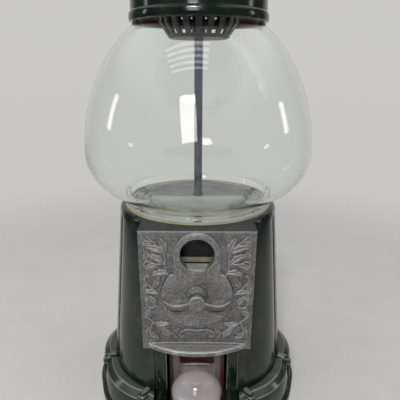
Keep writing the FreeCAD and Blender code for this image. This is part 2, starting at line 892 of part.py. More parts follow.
def shaft_clip():
    """A retaining ring behind the rear bearing."""
    y0 = bearing_rear_y + loose_clearance
    y1 = y0 + clip_thickness
    return spindle(clip_radius, y0, y1).cut(spindle(shaft_radius + pin_clearance, y0, y1))


def rod_bridge():
    """The crossbar on the casting's lugs, with the shaft's rear bearing."""
    beam = block(-bridge_half_length, bridge_half_length, -bridge_half_width, bridge_half_width,
                 bridge_bottom_z, bridge_top_z)
    foot = block(-bearing_half_width, bearing_half_width, bearing_front_y, 0, bridge_bottom_z, bridge_top_z)
    upright = block(-bearing_half_width, bearing_half_width, bearing_front_y, bearing_rear_y,
                    bridge_bottom_z, bearing_top_z)
    cuts = [
        post(rod_radius + pin_clearance, bridge_bottom_z, bridge_top_z),
        spindle(shaft_radius + running_clearance, bearing_front_y, bearing_rear_y),
    ]
    return fused([beam, foot, upright]).cut(cuts + [screw_hole(seat, DOWN) for seat in bridge_screw_seats()])


def bridge_screws():
    return group([large_screw(seat, DOWN) for seat in bridge_screw_seats()])


# Gum wheel and hopper

def chute_screw_places():
    y = (inlet_front_y + inlet_rear_y) / 2
    x = chute_half_width + chute_wall + chute_ear_reach / 2
    return [Vec(side * x, y, hopper_under_z - chute_ear_thickness) for side in (1, -1)]


def baffle_legs(radius, z0, z1):
    places = [around(angle, baffle_leg_circle, 0) for angle in baffle_leg_angles]
    return [post(radius, z0, z1, place.x, place.y) for place in places]


def baffle_screw_seats():
    return [around(angle, baffle_leg_circle, baffle_z + baffle_thickness) for angle in baffle_leg_angles]


def hopper():
    """The round tray in the deck that the gum wheel turns in, with the exit at its rear."""
    cup = turned([
        (wheel_hub_radius + loose_clearance, hopper_under_z),
        (hopper_outer_radius, hopper_under_z),
        (hopper_outer_radius, body_top_z - hopper_flange_thickness),
        (hopper_flange_radius, body_top_z - hopper_flange_thickness),
        (hopper_flange_radius, body_top_z),
        (hopper_inner_radius, body_top_z),
        (hopper_inner_radius, hopper_floor_z),
        (wheel_hub_radius + loose_clearance, hopper_floor_z),
    ])
    lug_z = body_top_z - baffle_lug_thickness
    tray_inside = post(hopper_inner_radius + hopper_wall / 2, lug_z, body_top_z)
    lugs = []
    for angle in baffle_leg_angles:
        lug = block(-2 * baffle_leg_radius, 2 * baffle_leg_radius, -hopper_outer_radius,
                    baffle_leg_radius - baffle_leg_circle, lug_z, body_top_z)
        lugs.append(lug.rotate(CENTRE, UP, angle).common(tray_inside))
    exit_radius = ball_pocket_radius - loose_clearance
    exit_hole = post(exit_radius, hopper_under_z, hopper_floor_z, 0, pocket_circle_radius)
    holes = [small_hole(seat, DOWN) for seat in baffle_screw_seats()]
    holes += [screw_hole(place, UP) for place in chute_screw_places()]
    return fused([cup] + lugs).cut([exit_hole] + holes)


def baffle():
    """The half-round cover over the exit, with wipers that hold back the other balls."""
    z0, z1 = baffle_z, baffle_z + baffle_thickness
    half = post(baffle_radius, z0, z1).common(block(-belly_radius, belly_radius, 0, belly_radius, z0, z1))
    wiper = block(wheel_cap_radius + loose_clearance, baffle_radius, 0, wiper_thickness,
                  wheel_ring_top_z + loose_clearance, z1)
    arms = baffle_legs(baffle_leg_radius, body_top_z, z1)
    for angle in baffle_leg_angles:
        half_width = baffle_arm_width / 2
        arm = block(-half_width, half_width, -baffle_leg_circle, half_width - baffle_radius, z0, z1)
        arms.append(arm.rotate(CENTRE, UP, angle))
    cover = fused([half, wiper, wiper.mirror(CENTRE, RIGHT)] + arms)
    holes = [small_hole(seat, DOWN) for seat in baffle_screw_seats()]
    return cover.cut([post(rod_radius + 1.5, z0, z1)] + holes)


def baffle_screws():
    return group([small_screw(seat, DOWN) for seat in baffle_screw_seats()])


def wheel_washer():
    return ring(wheel_washer_radius, wheel_hub_radius + loose_clearance, hopper_floor_z, wheel_bottom_z)


def gear_screw_seats():
    return [around(120.0 * i, gear_screw_circle, crown_root_z) for i in range(3)]


def gum_wheel():
    """The wheel that carries one ball at a time to the exit."""
    wheel = turned([
        (rod_bore, crown_top_z),
        (wheel_hub_radius, crown_top_z),
        (wheel_hub_radius, wheel_bottom_z),
        (wheel_radius, wheel_bottom_z),
        (wheel_radius, wheel_ring_top_z),
        (wheel_cap_radius, wheel_ring_top_z),
        (wheel_cap_radius, wheel_cap_top_z - 1.5),
        (wheel_cap_radius - 1.5, wheel_cap_top_z),
        (rod_bore, wheel_cap_top_z),
    ])
    pockets = []
    for i in range(pocket_count):
        centre = around(360.0 * i / pocket_count, pocket_circle_radius, 0)
        pockets.append(post(ball_pocket_radius, wheel_bottom_z, wheel_cap_top_z, centre.x, centre.y))
    holes = [screw_hole(seat, UP) for seat in gear_screw_seats()]
    return wheel.cut(pockets + holes)


def crown_gear():
    """The face gear under the wheel's hub, with its teeth pointing down."""
    disc = ring(crown_radius, rod_bore, crown_root_z, crown_top_z)
    inner, outer = crown_pitch_radius - pinion_face * 0.7, crown_pitch_radius + pinion_face * 0.7
    blanks = [disc]
    for tooth in range(crown_teeth):
        outline = gear_tooth(crown_root_z + loose_clearance, crown_tip_z)
        shape = prism_along_y(outline, -outer, -inner)
        blanks.append(shape.rotate(CENTRE, UP, 360.0 * (tooth + 0.5) / crown_teeth))
    return fused(blanks).cut([screw_hole(seat, UP) for seat in gear_screw_seats()])


def gear_screws():
    return group([large_screw(seat, UP) for seat in gear_screw_seats()])


# Rod

def center_rod():
    stem = post(rod_radius, rod_bottom_z, rod_top_z)
    ends = [edge for edge in stem.Edges if edge.Closed]
    return stem.makeChamfer(rod_radius * 0.2, ends)


def rod_washer():
    bottom = bridge_bottom_z - rod_washer_thickness
    return ring(rod_washer_radius, rod_radius + pin_clearance, bottom, bridge_bottom_z)


def rod_nut():
    top = bridge_bottom_z - rod_washer_thickness
    corners = [around(60.0 * i, rod_nut_radius, top - rod_nut_height) for i in range(6)]
    hexagon = Part.Face(Part.makePolygon(corners + corners[:1])).extrude(UP * rod_nut_height)
    return hexagon.cut(post(rod_radius + pin_clearance, top - rod_nut_height, top))


# Chute and flap

def chute():
    """The closed slide from the exit down to the mouth, with a bezel that fills the mouth."""
    beyond = chute_ear_depth
    fall = (run_out_z - mouth_floor_z) / (run_out_y - mouth_y)
    slope = (roof_bend_z - mouth_roof_z) / (inlet_front_y - mouth_y)
    channel = [
        (inlet_rear_y, hopper_under_z + beyond),
        (inlet_rear_y, floor_bend_z),
        (run_out_y, run_out_z),
        (mouth_y - beyond, mouth_floor_z - fall * beyond),
        (mouth_y - beyond, mouth_roof_z - slope * beyond),
        (inlet_front_y, roof_bend_z),
        (inlet_front_y, hopper_under_z + beyond),
    ]
    inside = prism_along_x(channel, chute_half_width)
    half = chute_half_width + chute_wall
    corners = [Vec(-half, y, z) for y, z in channel]
    outer_wire = Part.makePolygon(corners + corners[:1]).makeOffset2D(chute_wall, 2)
    outside = Part.Face(outer_wire).extrude(RIGHT * (2 * half))
    keep = block(-half, half, mouth_y, inlet_rear_y + chute_wall, 0, hopper_under_z)
    middle = (inlet_front_y + inlet_rear_y) / 2
    ears = block(-half - chute_ear_reach, half + chute_ear_reach, middle - chute_ear_depth / 2,
                 middle + chute_ear_depth / 2, hopper_under_z - chute_ear_thickness, hopper_under_z)
    bezel = block(-bezel_half_width, bezel_half_width, mouth_y, mouth_y + bezel_thickness,
                  threshold_z, bezel_top_z)
    holes = [screw_hole(place, UP) for place in chute_screw_places()]
    return fused([outside.common(keep), ears, bezel]).cut([inside] + holes)


def chute_screws():
    return group([
        screw(place, UP, chute_ear_thickness + hopper_floor_thickness - loose_clearance, screw_shank_radius,
              screw_head_radius, screw_head_height)
        for place in chute_screw_places()
    ])


def flap_dome(radius, back_y):
    """A half ball that bulges to the front, on a short round skirt."""
    skirt = spindle(radius, dome_y, back_y, 0, dome_z)
    return skirt.fuse(Part.makeSphere(radius, Vec(0, dome_y, dome_z), FRONT, 0, 90, 360))


def chute_flap():
    """The clear door: a flat leaf on a hinge knuckle, with a hollow dome that a ball rolls into."""
    leaf_front_y = hinge_y - knuckle_radius
    leaf_back_y = leaf_front_y + flap_thickness
    leaf = block(-flap_half_width, flap_half_width, leaf_front_y, leaf_back_y, dome_z, hinge_z)
    knuckle = bar(knuckle_radius, -flap_half_width, flap_half_width, hinge_y, hinge_z)
    dome = flap_dome(dome_radius, leaf_back_y)
    bowl = flap_dome(dome_radius - dome_wall, leaf_back_y + 1)
    bore = bar(hinge_pin_radius + running_clearance, -flap_half_width, flap_half_width, hinge_y, hinge_z)
    return fused([leaf, knuckle, dome]).cut([bowl, bore])


def flap_hinge_pin():
    half = mouth_half_width + hinge_pin_bite - loose_clearance
    return bar(hinge_pin_radius, -half, half, hinge_y, hinge_z)


# Globe and lid

def ellipse_arc(half_width, half_height, start, end):
    """An edge in the XZ plane along an ellipse round the belly's middle, between two angles."""
    steps = 10
    points = []
    for i in range(steps + 1):
        angle = start + (end - start) * i / steps
        points.append(Vec(half_width * math.cos(angle), 0, belly_z + half_height * math.sin(angle)))
    curve = Part.BSplineCurve()
    curve.interpolate(points)
    return curve.toShape()


def globe_side(inset):
    """Edges of the globe's profile from its foot to its neck, moved in by a wall."""
    belly, foot, neck = belly_radius - inset, globe_foot_radius - inset, globe_neck_radius - inset
    bowl = ellipse_arc(belly, bowl_depth - inset, -math.acos(foot / belly), 0)
    crown = ellipse_arc(belly, crown_height - inset, 0, math.acos(neck / belly))
    low = Part.makeLine(Vec(foot, 0, globe_bottom_z), bowl.Vertexes[0].Point)
    high = Part.makeLine(crown.Vertexes[-1].Point, Vec(neck, 0, globe_top_z))
    return [low, bowl, crown, high]


def globe():
    """The glass: a swelling bowl with a short straight foot and an open neck."""
    outer, inner = globe_side(0), globe_side(globe_wall)
    foot = Part.makeLine(outer[0].Vertexes[0].Point, inner[0].Vertexes[0].Point)
    top = Part.makeLine(outer[3].Vertexes[-1].Point, inner[3].Vertexes[-1].Point)
    return turned_wire(Part.Wire(Part.__sortEdges__(outer + [top] + inner + [foot])))


def globe_gasket():
    return ring(hopper_flange_radius, gasket_inner_radius, body_top_z, globe_bottom_z)


def lid():
    """The cast lid: a beaded rim, a plain band and a stepped dome."""
    rim_top = lid_rim_bottom_z + lid_rim_height
    dome_base = lid_band_top_z + lid_step_rise
    bead = Part.Arc(
        Vec(lid_inner_radius, 0, lid_rim_bottom_z),
        Vec(lid_rim_radius, 0, (lid_rim_bottom_z + rim_top) / 2),
        Vec(lid_band_radius, 0, rim_top),
    ).toShape()
    rise = lid_dome_top_z - dome_base
    dome_middle = Vec(lid_step_radius * 0.62, 0, dome_base + rise * 0.66)
    dome = Part.Arc(
        Vec(lid_step_radius, 0, dome_base),
        dome_middle,
        Vec(lid_boss_radius, 0, lid_dome_top_z),
    ).toShape()
    under = Part.Arc(
        Vec(lid_step_radius - lid_wall, 0, dome_base - lid_wall),
        dome_middle - Vec(lid_wall * 0.6, 0, lid_wall),
        Vec(lid_boss_radius, 0, lid_dome_top_z - lid_wall),
    ).toShape()
    bore = rod_radius + loose_clearance
    boss_z = lid_dome_top_z - lid_boss_depth
    corners = [
        Vec(lid_boss_radius, 0, lid_dome_top_z - lid_wall),
        Vec(lid_boss_radius, 0, boss_z),
        Vec(bore, 0, boss_z),
        Vec(bore, 0, lid_dome_top_z),
        Vec(lid_boss_radius, 0, lid_dome_top_z),
    ]
    boss = Part.makePolygon(corners)
    outside = Part.makePolygon([
        Vec(lid_band_radius, 0, rim_top),
        Vec(lid_band_radius, 0, lid_band_top_z),
        Vec(lid_step_radius, 0, dome_base),
    ])
    inside = Part.makePolygon([
        Vec(lid_inner_radius, 0, lid_rim_bottom_z),
        Vec(lid_inner_radius, 0, basket_flange_top_z),
        Vec(lid_step_radius - lid_wall, 0, basket_flange_top_z),
        Vec(lid_step_radius - lid_wall, 0, dome_base - lid_wall),
    ])
    edges = [bead] + outside.Edges + [dome] + boss.Edges + [under] + inside.Edges
    return turned_wire(Part.Wire(Part.__sortEdges__(edges)))


def lid_seal():
    """The soft ring that plugs the globe's neck and cushions the lid."""
    outer = globe_neck_radius - globe_wall - loose_clearance
    return turned([
        (outer - seal_skirt_wall, seal_skirt_bottom_z),
        (outer, seal_skirt_bottom_z),
        (outer, globe_top_z),
        (globe_neck_radius, globe_top_z),
        (globe_neck_radius, seal_top_z),
        (seal_flange_inner_radius, seal_top_z),
        (seal_flange_inner_radius, globe_top_z),
        (outer - seal_skirt_wall, globe_top_z),
    ])


def lid_basket():
    """The tapered cage under the lid, with a row of windows and a tube round the rod."""
    bottom, top = basket_bottom_z, basket_flange_top_z
    floor_top = bottom + basket_wall
    shell = turned([
        (rod_radius + 2 * loose_clearance, bottom),
        (basket_bottom_radius, bottom),
        (basket_top_radius, seal_top_z),
        (globe_neck_radius, seal_top_z),
        (globe_neck_radius, top),
        (basket_top_radius - basket_wall, top),
        (basket_bottom_radius - basket_wall, floor_top),
        (basket_tube_radius, floor_top),
        (basket_tube_radius, lid_dome_top_z - lid_boss_depth),
        (rod_radius + 2 * loose_clearance, lid_dome_top_z - lid_boss_depth),
    ])
    windows = []
    low = floor_top + basket_wall
    for i in range(window_count):
        hole = block(-window_width / 2, window_width / 2, -basket_top_radius, -basket_tube_radius * 2,
                     low, low + window_height)
        windows.append(hole.rotate(CENTRE, UP, 360.0 * (i + 0.5) / window_count))
    return shell.cut(windows)


def lid_nut():
    """The fluted cap nut that screws on to the rod and holds the lid down."""
    top = nut_bottom_z + nut_height
    collar_top = nut_bottom_z + nut_collar_height
    neck = nut_radius * 0.62
    crown = Part.Arc(
        Vec(nut_radius, 0, top - nut_radius * 0.5),
        Vec(nut_radius * 0.72, 0, top - nut_radius * 0.16),
        Vec(0, 0, top),
    ).toShape()
    corners = [
        Vec(0, 0, top),
        Vec(0, 0, rod_top_z + 1),
        Vec(rod_bore, 0, rod_top_z + 1),
        Vec(rod_bore, 0, nut_bottom_z),
        Vec(nut_collar_radius, 0, nut_bottom_z),
        Vec(nut_collar_radius, 0, collar_top),
        Vec(neck, 0, collar_top + 1),
        Vec(nut_radius, 0, collar_top + 4),
        Vec(nut_radius, 0, top - nut_radius * 0.5),
    ]
    knob = turned_wire(Part.Wire([crown] + Part.makePolygon(corners).Edges))
    flutes = []
    for i in range(nut_flutes):
        centre = around(360.0 * i / nut_flutes, nut_radius + nut_flute_radius * 0.45, 0)
        flutes.append(post(nut_flute_radius, collar_top + 1, top, centre.x, centre.y))
    return knob.cut(flutes)


nodes = (
    foot_pad, foot_ring, bottom_plate, coin_plug, bottom_screws, foot_screws, base_body,
    front_plate, plate_screws, escutcheon, coin_ramp, slot_bar, shaft_bushing, mech_back_plate,
    mech_spacers, mech_screws, coin_carrier, ratchet_wheel, pawl, pawl_pin, pawl_spring,
    wing_handle, handle_set_screw, handle_shaft, drive_pinion, shaft_clip, rod_bridge,
    bridge_screws, hopper, baffle, baffle_screws, wheel_washer, gum_wheel, crown_gear, gear_screws,
    center_rod, rod_washer, rod_nut, chute, chute_screws, chute_flap, flap_hinge_pin, globe,
    globe_gasket, lid, lid_seal, lid_basket, lid_nut,
)

os.makedirs("parts", exist_ok=True)
for node in nodes:
    shape = node()
    shape.exportStep(os.path.join("parts", node.__name__ + ".step"))
    print(node.__name__, len(shape.Solids), "valid" if shape.isValid() else "not valid", round(shape.Volume))
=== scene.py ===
# %% [markdown]
# # A gumball machine, dressed in Blender
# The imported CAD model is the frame: each node has its place, its body and its size, in metres.
# The front of the machine is -Y, up is +Z, and the origin is the middle of the table under it.
# The mechanism keeps its CAD shapes. What the eye meets first is modelled again with softer forms,
# and every piece gets a finish made of shader nodes.

# %% Load the frame
import json
import math
from contextlib import contextmanager

import bmesh
import bpy
from mathutils import Matrix, Quaternion, Vector


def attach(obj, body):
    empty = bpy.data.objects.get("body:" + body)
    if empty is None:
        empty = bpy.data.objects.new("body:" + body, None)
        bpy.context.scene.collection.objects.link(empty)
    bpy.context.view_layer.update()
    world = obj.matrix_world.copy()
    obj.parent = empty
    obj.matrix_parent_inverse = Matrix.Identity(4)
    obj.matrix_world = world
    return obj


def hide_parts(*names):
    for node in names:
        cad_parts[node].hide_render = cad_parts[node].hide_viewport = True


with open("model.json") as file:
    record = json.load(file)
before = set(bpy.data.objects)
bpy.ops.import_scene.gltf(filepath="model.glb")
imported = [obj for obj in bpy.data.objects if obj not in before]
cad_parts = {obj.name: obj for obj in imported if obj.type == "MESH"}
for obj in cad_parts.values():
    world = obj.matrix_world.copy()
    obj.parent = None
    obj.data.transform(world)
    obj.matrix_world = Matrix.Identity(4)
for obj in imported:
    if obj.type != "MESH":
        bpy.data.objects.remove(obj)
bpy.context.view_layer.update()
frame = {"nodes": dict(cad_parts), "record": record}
nodes = frame["nodes"]
bpy.ops.object.select_all(action="DESELECT")


# %% [markdown]
# ## Camera
# The picture looks down on the machine by about 17 degrees from close by, so the base seems to widen
# towards the globe. A lens of about 39 mm at that distance gives the same perspective.
# The lid's top and the very front of the foot fall outside the frame, as they do in the picture.

# %% Camera
def mm(*values):
    """Millimetres to metres."""
    return tuple(value * 0.001 for value in values)


eye = mm(1.8, -360, 289.6)
look_down = math.radians(17.2)
lean = math.radians(0.36)
camera_data = bpy.data.cameras.new("camera")
camera_data.sensor_width = 36.0
camera_data.lens = 38.7
camera = bpy.data.objects.new("camera", camera_data)
bpy.context.collection.objects.link(camera)
aim = Matrix.Rotation(math.pi / 2 - look_down, 4, "X") @ Matrix.Rotation(lean, 4, "Z")
camera.matrix_world = Matrix.Translation(eye) @ aim
bpy.context.scene.camera = camera
bpy.context.scene.view_settings.view_transform = "Standard"
print("camera at", [round(value, 3) for value in eye])


# %% [markdown]
# ## Shader arithmetic
# A finish is a small drawing made of nodes. Wrapping a socket in a class lets the drawing be written as
# Python expressions: each + or * adds a Math node. Colours are mixed with Mix nodes instead, because a
# Math node would turn them grey.

# %% Sockets as expressions
def srgb(red, green, blue):
    """A linear colour from the 0 to 255 values that a screen shows."""
    parts = [value / 255 for value in (red, green, blue)]
    return tuple(p / 12.92 if p <= 0.04045 else ((p + 0.055) / 1.055) ** 2.4 for p in parts) + (1.0,)


class Wire:
    """An output socket that can be added, multiplied and mixed."""

    def __init__(self, tree, socket=None):
        self.tree = tree
        self.socket = socket

    def node(self, kind, settings, sockets, output=0):
        """Adds a node: its settings first, then the values or wires of its sockets."""
        made = self.tree.nodes.new("ShaderNode" + kind)
        for key, value in settings.items():
            setattr(made, key, value)
        for key, value in sockets.items():
            if isinstance(value, Wire):
                self.tree.links.new(value.socket, made.inputs[key])
            else:
                made.inputs[key].default_value = value
        return Wire(self.tree, made.outputs[output])

    def math(self, operation, first, second=0.0):
        return self.node("Math", {"operation": operation}, {0: first, 1: second})

    def __add__(self, other):
        return self.math("ADD", self, other)

    def __radd__(self, other):
        return self.math("ADD", other, self)

    def __sub__(self, other):
        return self.math("SUBTRACT", self, other)

    def __rsub__(self, other):
        return self.math("SUBTRACT", other, self)

    def __mul__(self, other):
        return self.math("MULTIPLY", self, other)

    def __rmul__(self, other):
        return self.math("MULTIPLY", other, self)

    def __abs__(self):
        return self.math("ABSOLUTE", self)

    def either(self, other):
        """The larger of two values."""
        return self.math("MAXIMUM", self, other)

    def distance(self, other):
        """How far a point is from an axis, from its two coordinates square to that axis."""
        return self.math("SQRT", self * self + other * other)

    def part(self, letter):
        """One coordinate of a vector."""
        return self.node("SeparateXYZ", {}, {0: self}, letter)

    def ray(self, kind):
        """1 for the kind of ray that is asked for, such as Camera or Shadow."""
        return self.node("LightPath", {}, {}, f"Is {kind} Ray")

    def between(self, low, high):
        """0 at low, 1 at high, eased in between."""
        sockets = {"Value": self, "From Min": low, "From Max": high}
        return self.node("MapRange", {"interpolation_type": "SMOOTHSTEP"}, sockets)

    def blend(self, first, second):
        """A colour that goes from first to second as this value goes from 0 to 1."""
        return self.node("Mix", {"data_type": "RGBA"}, {0: self, 6: first, 7: second}, 2)


print("a screen's middle grey is", round(srgb(128, 128, 128)[0], 3), "in linear light")


# %% A new finish and its patterns
class Finish:
    """A material with one Principled shader, and patterns in the piece's own coordinates."""

    def __init__(self, name, **constants):
        self.material = bpy.data.materials.new(name)
        self.material.use_nodes = True
        self.tree = self.material.node_tree
        self.shader = self.tree.nodes["Principled BSDF"]
        for key, value in constants.items():
            self.shader.inputs[key.replace("_", " ")].default_value = value
        self.start = Wire(self.tree)
        self.place = self.start.node("TexCoord", {}, {}, "Object")

    def axis(self, letter):
        """The coordinate along one axis, in metres."""
        return self.place.part(letter)

    def noise(self, size_mm, detail=3.0, stretch=(1, 1, 1)):
        """A cloudy pattern whose blotches are about this size, drawn out along an axis by stretch."""
        spread = tuple(1000 / size_mm / part for part in stretch)
        place = self.start.node("Mapping", {}, {"Vector": self.place, "Scale": spread})
        return self.start.node("TexNoise", {}, {"Vector": place, "Scale": 1.0, "Detail": detail})

    def feed(self, **sockets):
        """Links wires to the shader's sockets."""
        for key, wire in sockets.items():
            self.tree.links.new(wire.socket, self.shader.inputs[key.replace("_", " ")])
        return self

    def bump(self, height, depth_mm, strength=1.0):
        """Lets a pattern stand out by a depth in millimetres."""
        sockets = {"Height": height, "Distance": depth_mm * 0.001, "Strength": strength}
        return self.feed(Normal=self.start.node("Bump", {}, sockets))

    def mixed(self, factor, first, second):
        """A shader between two others."""
        return self.start.node("MixShader", {}, {0: factor, 1: first, 2: second})

    def surface(self, shader):
        """Shows another shader in place of the Principled one."""
        self.tree.links.new(shader.socket, self.tree.nodes["Material Output"].inputs["Surface"])


print("shader tools ready")


# %% [markdown]
# ## Floor and room
# A product picture wants a plain pale ground and broad soft light. Far away the floor thins out into the
# room's own tone, so no horizon cuts the picture. What the camera sees behind the machine is pale, and so
# is what glass lets through and what shiny pieces mirror from there, all but its low left. The rest of the
# room is dimmer, with a glow on both sides of the ceiling: dark enamel needs both to show its form.

# %% Floor
fade_start, fade_end = 0.3, 0.8
ground = Finish("pale_floor", Roughness=0.6, Specular_IOR_Level=0.2)
speckle = ground.noise(40, 4) * 0.6 + ground.noise(6, 2) * 0.4
ground.feed(Base_Color=speckle.between(0.3, 0.7).blend(srgb(226, 224, 221), srgb(232, 230, 227)))
ground.bump(speckle, 0.2, 0.3)
away = ground.start.node("VectorMath", {"operation": "LENGTH"}, {0: ground.place}, "Value")
thin = ground.start.node("BsdfTransparent", {}, {})
solid = Wire(ground.tree, ground.shader.outputs[0])
ground.surface(ground.mixed(away.between(fade_start, fade_end), solid, thin))
bpy.ops.mesh.primitive_plane_add(size=8.0)
floor = bpy.context.object
floor.name = "floor"
floor.data.materials.append(ground.material)
print("floor laid")

# %% Room
world = bpy.data.worlds.new("pale_room")
bpy.context.scene.world = world
world.use_nodes = True
room = Wire(world.node_tree)
direction = room.node("TexCoord", {}, {}, "Generated")
across, depth, height = [direction.part(letter) for letter in "XYZ"]
backdrop = height.between(-0.3, 0.5).blend(srgb(200, 199, 197), srgb(205, 205, 205))
dim, glow = srgb(80, 81, 84), (1.25, 1.26, 1.28, 1.0)
light = (height.between(0.35, 0.7) * abs(across).between(0.3, 0.62)).blend(dim, glow)
not_low_left = across.between(-0.62, -0.44).either(height.between(-0.25, -0.05))
mirrored = room.ray("Glossy") * (depth.between(0.5, 0.85) * not_low_left)
shows_backdrop = room.ray("Camera").either(room.ray("Transmission")).either(mirrored)
sky = shows_backdrop.blend(light, backdrop)
world.node_tree.links.new(sky.socket, world.node_tree.nodes["Background"].inputs["Color"])
print("room", world.name)


# %% [markdown]
# ## Lamps
# Glass mirrors its lamps, so their shapes matter. A tall box like a window stands in front on the left, and
# a small strong one at its head throws the shadows under the wings and the lip. A narrow box on each side
# draws a line down the globe, and five ceiling tubes leave faint stripes under the lid.

# %% Soft boxes
def soft_box(name, place, target, size, watts, roll=0):
    """A flat lamp of the given size, in metres, that faces a target and is rolled by some degrees."""
    bpy.ops.object.light_add(type="AREA", location=place)
    lamp = bpy.context.object
    lamp.name = name
    facing = (Vector(target) - Vector(place)).to_track_quat("-Z", "Y")
    lamp.rotation_euler = (facing @ Quaternion((0, 0, 1), math.radians(roll))).to_euler()
    lamp.data.shape = "RECTANGLE"
    lamp.data.size, lamp.data.size_y = size
    lamp.data.energy = watts


soft_box("window_box", (-0.17, -1.05, 0.66), (0, 0, 0.22), (0.285, 0.6), 3.5, roll=8)
soft_box("key_box", (-0.155, -0.956, 0.891), (0, -0.05, 0.15), (0.2, 0.08), 5.2)
soft_box("left_box", (-1.1, 0.05, 0.5), (0, 0, 0.2), (0.09, 0.34), 0.45)
soft_box("right_box", (1.1, 0.02, 0.46), (0, 0, 0.2), (0.11, 0.3), 0.45)
tube_x, tube_y, tube_z, tube_gap = -0.21, -0.82, 1.45, 0.13
for i in range(5):
    place = (tube_x, tube_y + tube_gap * i, tube_z)
    soft_box(f"tube_{i}", place, (tube_x, -0.1, 0.2), (0.82, 0.03), 0.32)


# %% [markdown]
# ## Green enamel
# The base, the foot and the lid are castings dipped in a dark green enamel. It pools a little darker here
# and there, has a fine orange-peel skin, hair scratches that run down the sides, and a film of dust.
# Each of these is a noise at its own scale: the large ones change the colour, the small ones the gloss.
# Pale bands on the foot's edges, the base's lower rim and the pilasters' edges are painted highlight lines,
# partly edge wear, and the foot's slope gets a painted sheen besides its dust; their places are found by
# height and radius.

# %% Enamel
finishes = {}


def shelve(slot, material):
    """Keeps a finish under the name of its slot."""
    finishes[slot] = material
    print("finish", slot, "with", len(material.node_tree.nodes), "nodes")


def ramp(low, high, value):
    """0 before one place and 1 past another, in millimetres."""
    return value.between(low * 0.001, high * 0.001)


def band(low, high, fade, value):
    """1 between two places, in millimetres, with soft ends."""
    return ramp(low - fade, low, value) * (1 - ramp(high, high + fade, value))


def green_enamel():
    paint = Finish("green_enamel", IOR=1.45)
    x, y, height = paint.axis("X"), paint.axis("Y"), paint.axis("Z")
    pools = paint.noise(38, 3).between(0.35, 0.65)
    dust = paint.noise(9, 5).between(0.5, 0.8)
    scratch = paint.noise(1.1, 2, (1, 1, 22)).between(0.66, 0.74)
    peel = paint.noise(1.6, 2)

    outer = ramp(77.5, 79, x.distance(y))
    foot = outer * (1 - ramp(35.2, 35.5, height))
    # The foot's sloped top is lightened below: a painted sheen, partly dust.
    foot_slope = band(30.3, 34.3, 0.3, height) * foot
    # Thin bands on the foot's edges, the base's lower rim and the pilasters' edges: painted highlight lines,
    # partly edge wear.
    foot_edges = (band(29.5, 30.3, 0.2, height) + band(34.2, 34.88, 0.2, height)) * foot
    base_edge = band(36.6, 37.6, 0.2, height) * outer
    pilaster = band(58.5, 60.6, 0.3, y * -1.0) * band(30, 85, 2, height)
    pilaster_edges = (band(25.0, 25.4, 0.2, abs(x)) + band(33.8, 34.2, 0.2, abs(x))) * pilaster
    edges = foot_edges + pilaster_edges + base_edge

    green = pools.blend(srgb(14, 23, 16), srgb(26, 39, 27))
    # Dust and scratches, plus a painted sheen on the foot's slope.
    dust_and_sheen = dust * 0.12 + scratch * 0.12 + foot_slope * (dust * 0.12 + 0.13)
    dusty_and_sheened = dust_and_sheen.blend(green, srgb(112, 117, 108))
    # The edge bands are painted pale: painted highlights, partly wear.
    worn_and_highlit = (edges * (dust * 0.2 + 0.45)).blend(dusty_and_sheened, srgb(150, 154, 150))
    paint.feed(Base_Color=worn_and_highlit, Roughness=pools * 0.04 + dust * 0.12 + scratch * 0.12 + 0.11)
    return paint.bump(peel + scratch * 0.3, 0.05, 0.35).material


shelve("green_enamel", green_enamel())


# %% [markdown]
# ## Antique pewter
# The front plate, the coin face and the handle are cast grey metal, darkened by hand, and the high places rub
# bright. Bands on the leaf tops, the coin face, the wing ridges, the hub rings, the lip and the plate's top
# edge are painted highlights as well as that wear, and dark bands at the leaf feet, round the coin face, on
# and under the wings and on the plate's top are painted shade. Height above the plate is simply the distance
# to the front, so both kinds of band come from coordinates. The grain and fine pits of the cast skin go to
# colour, bump and roughness.

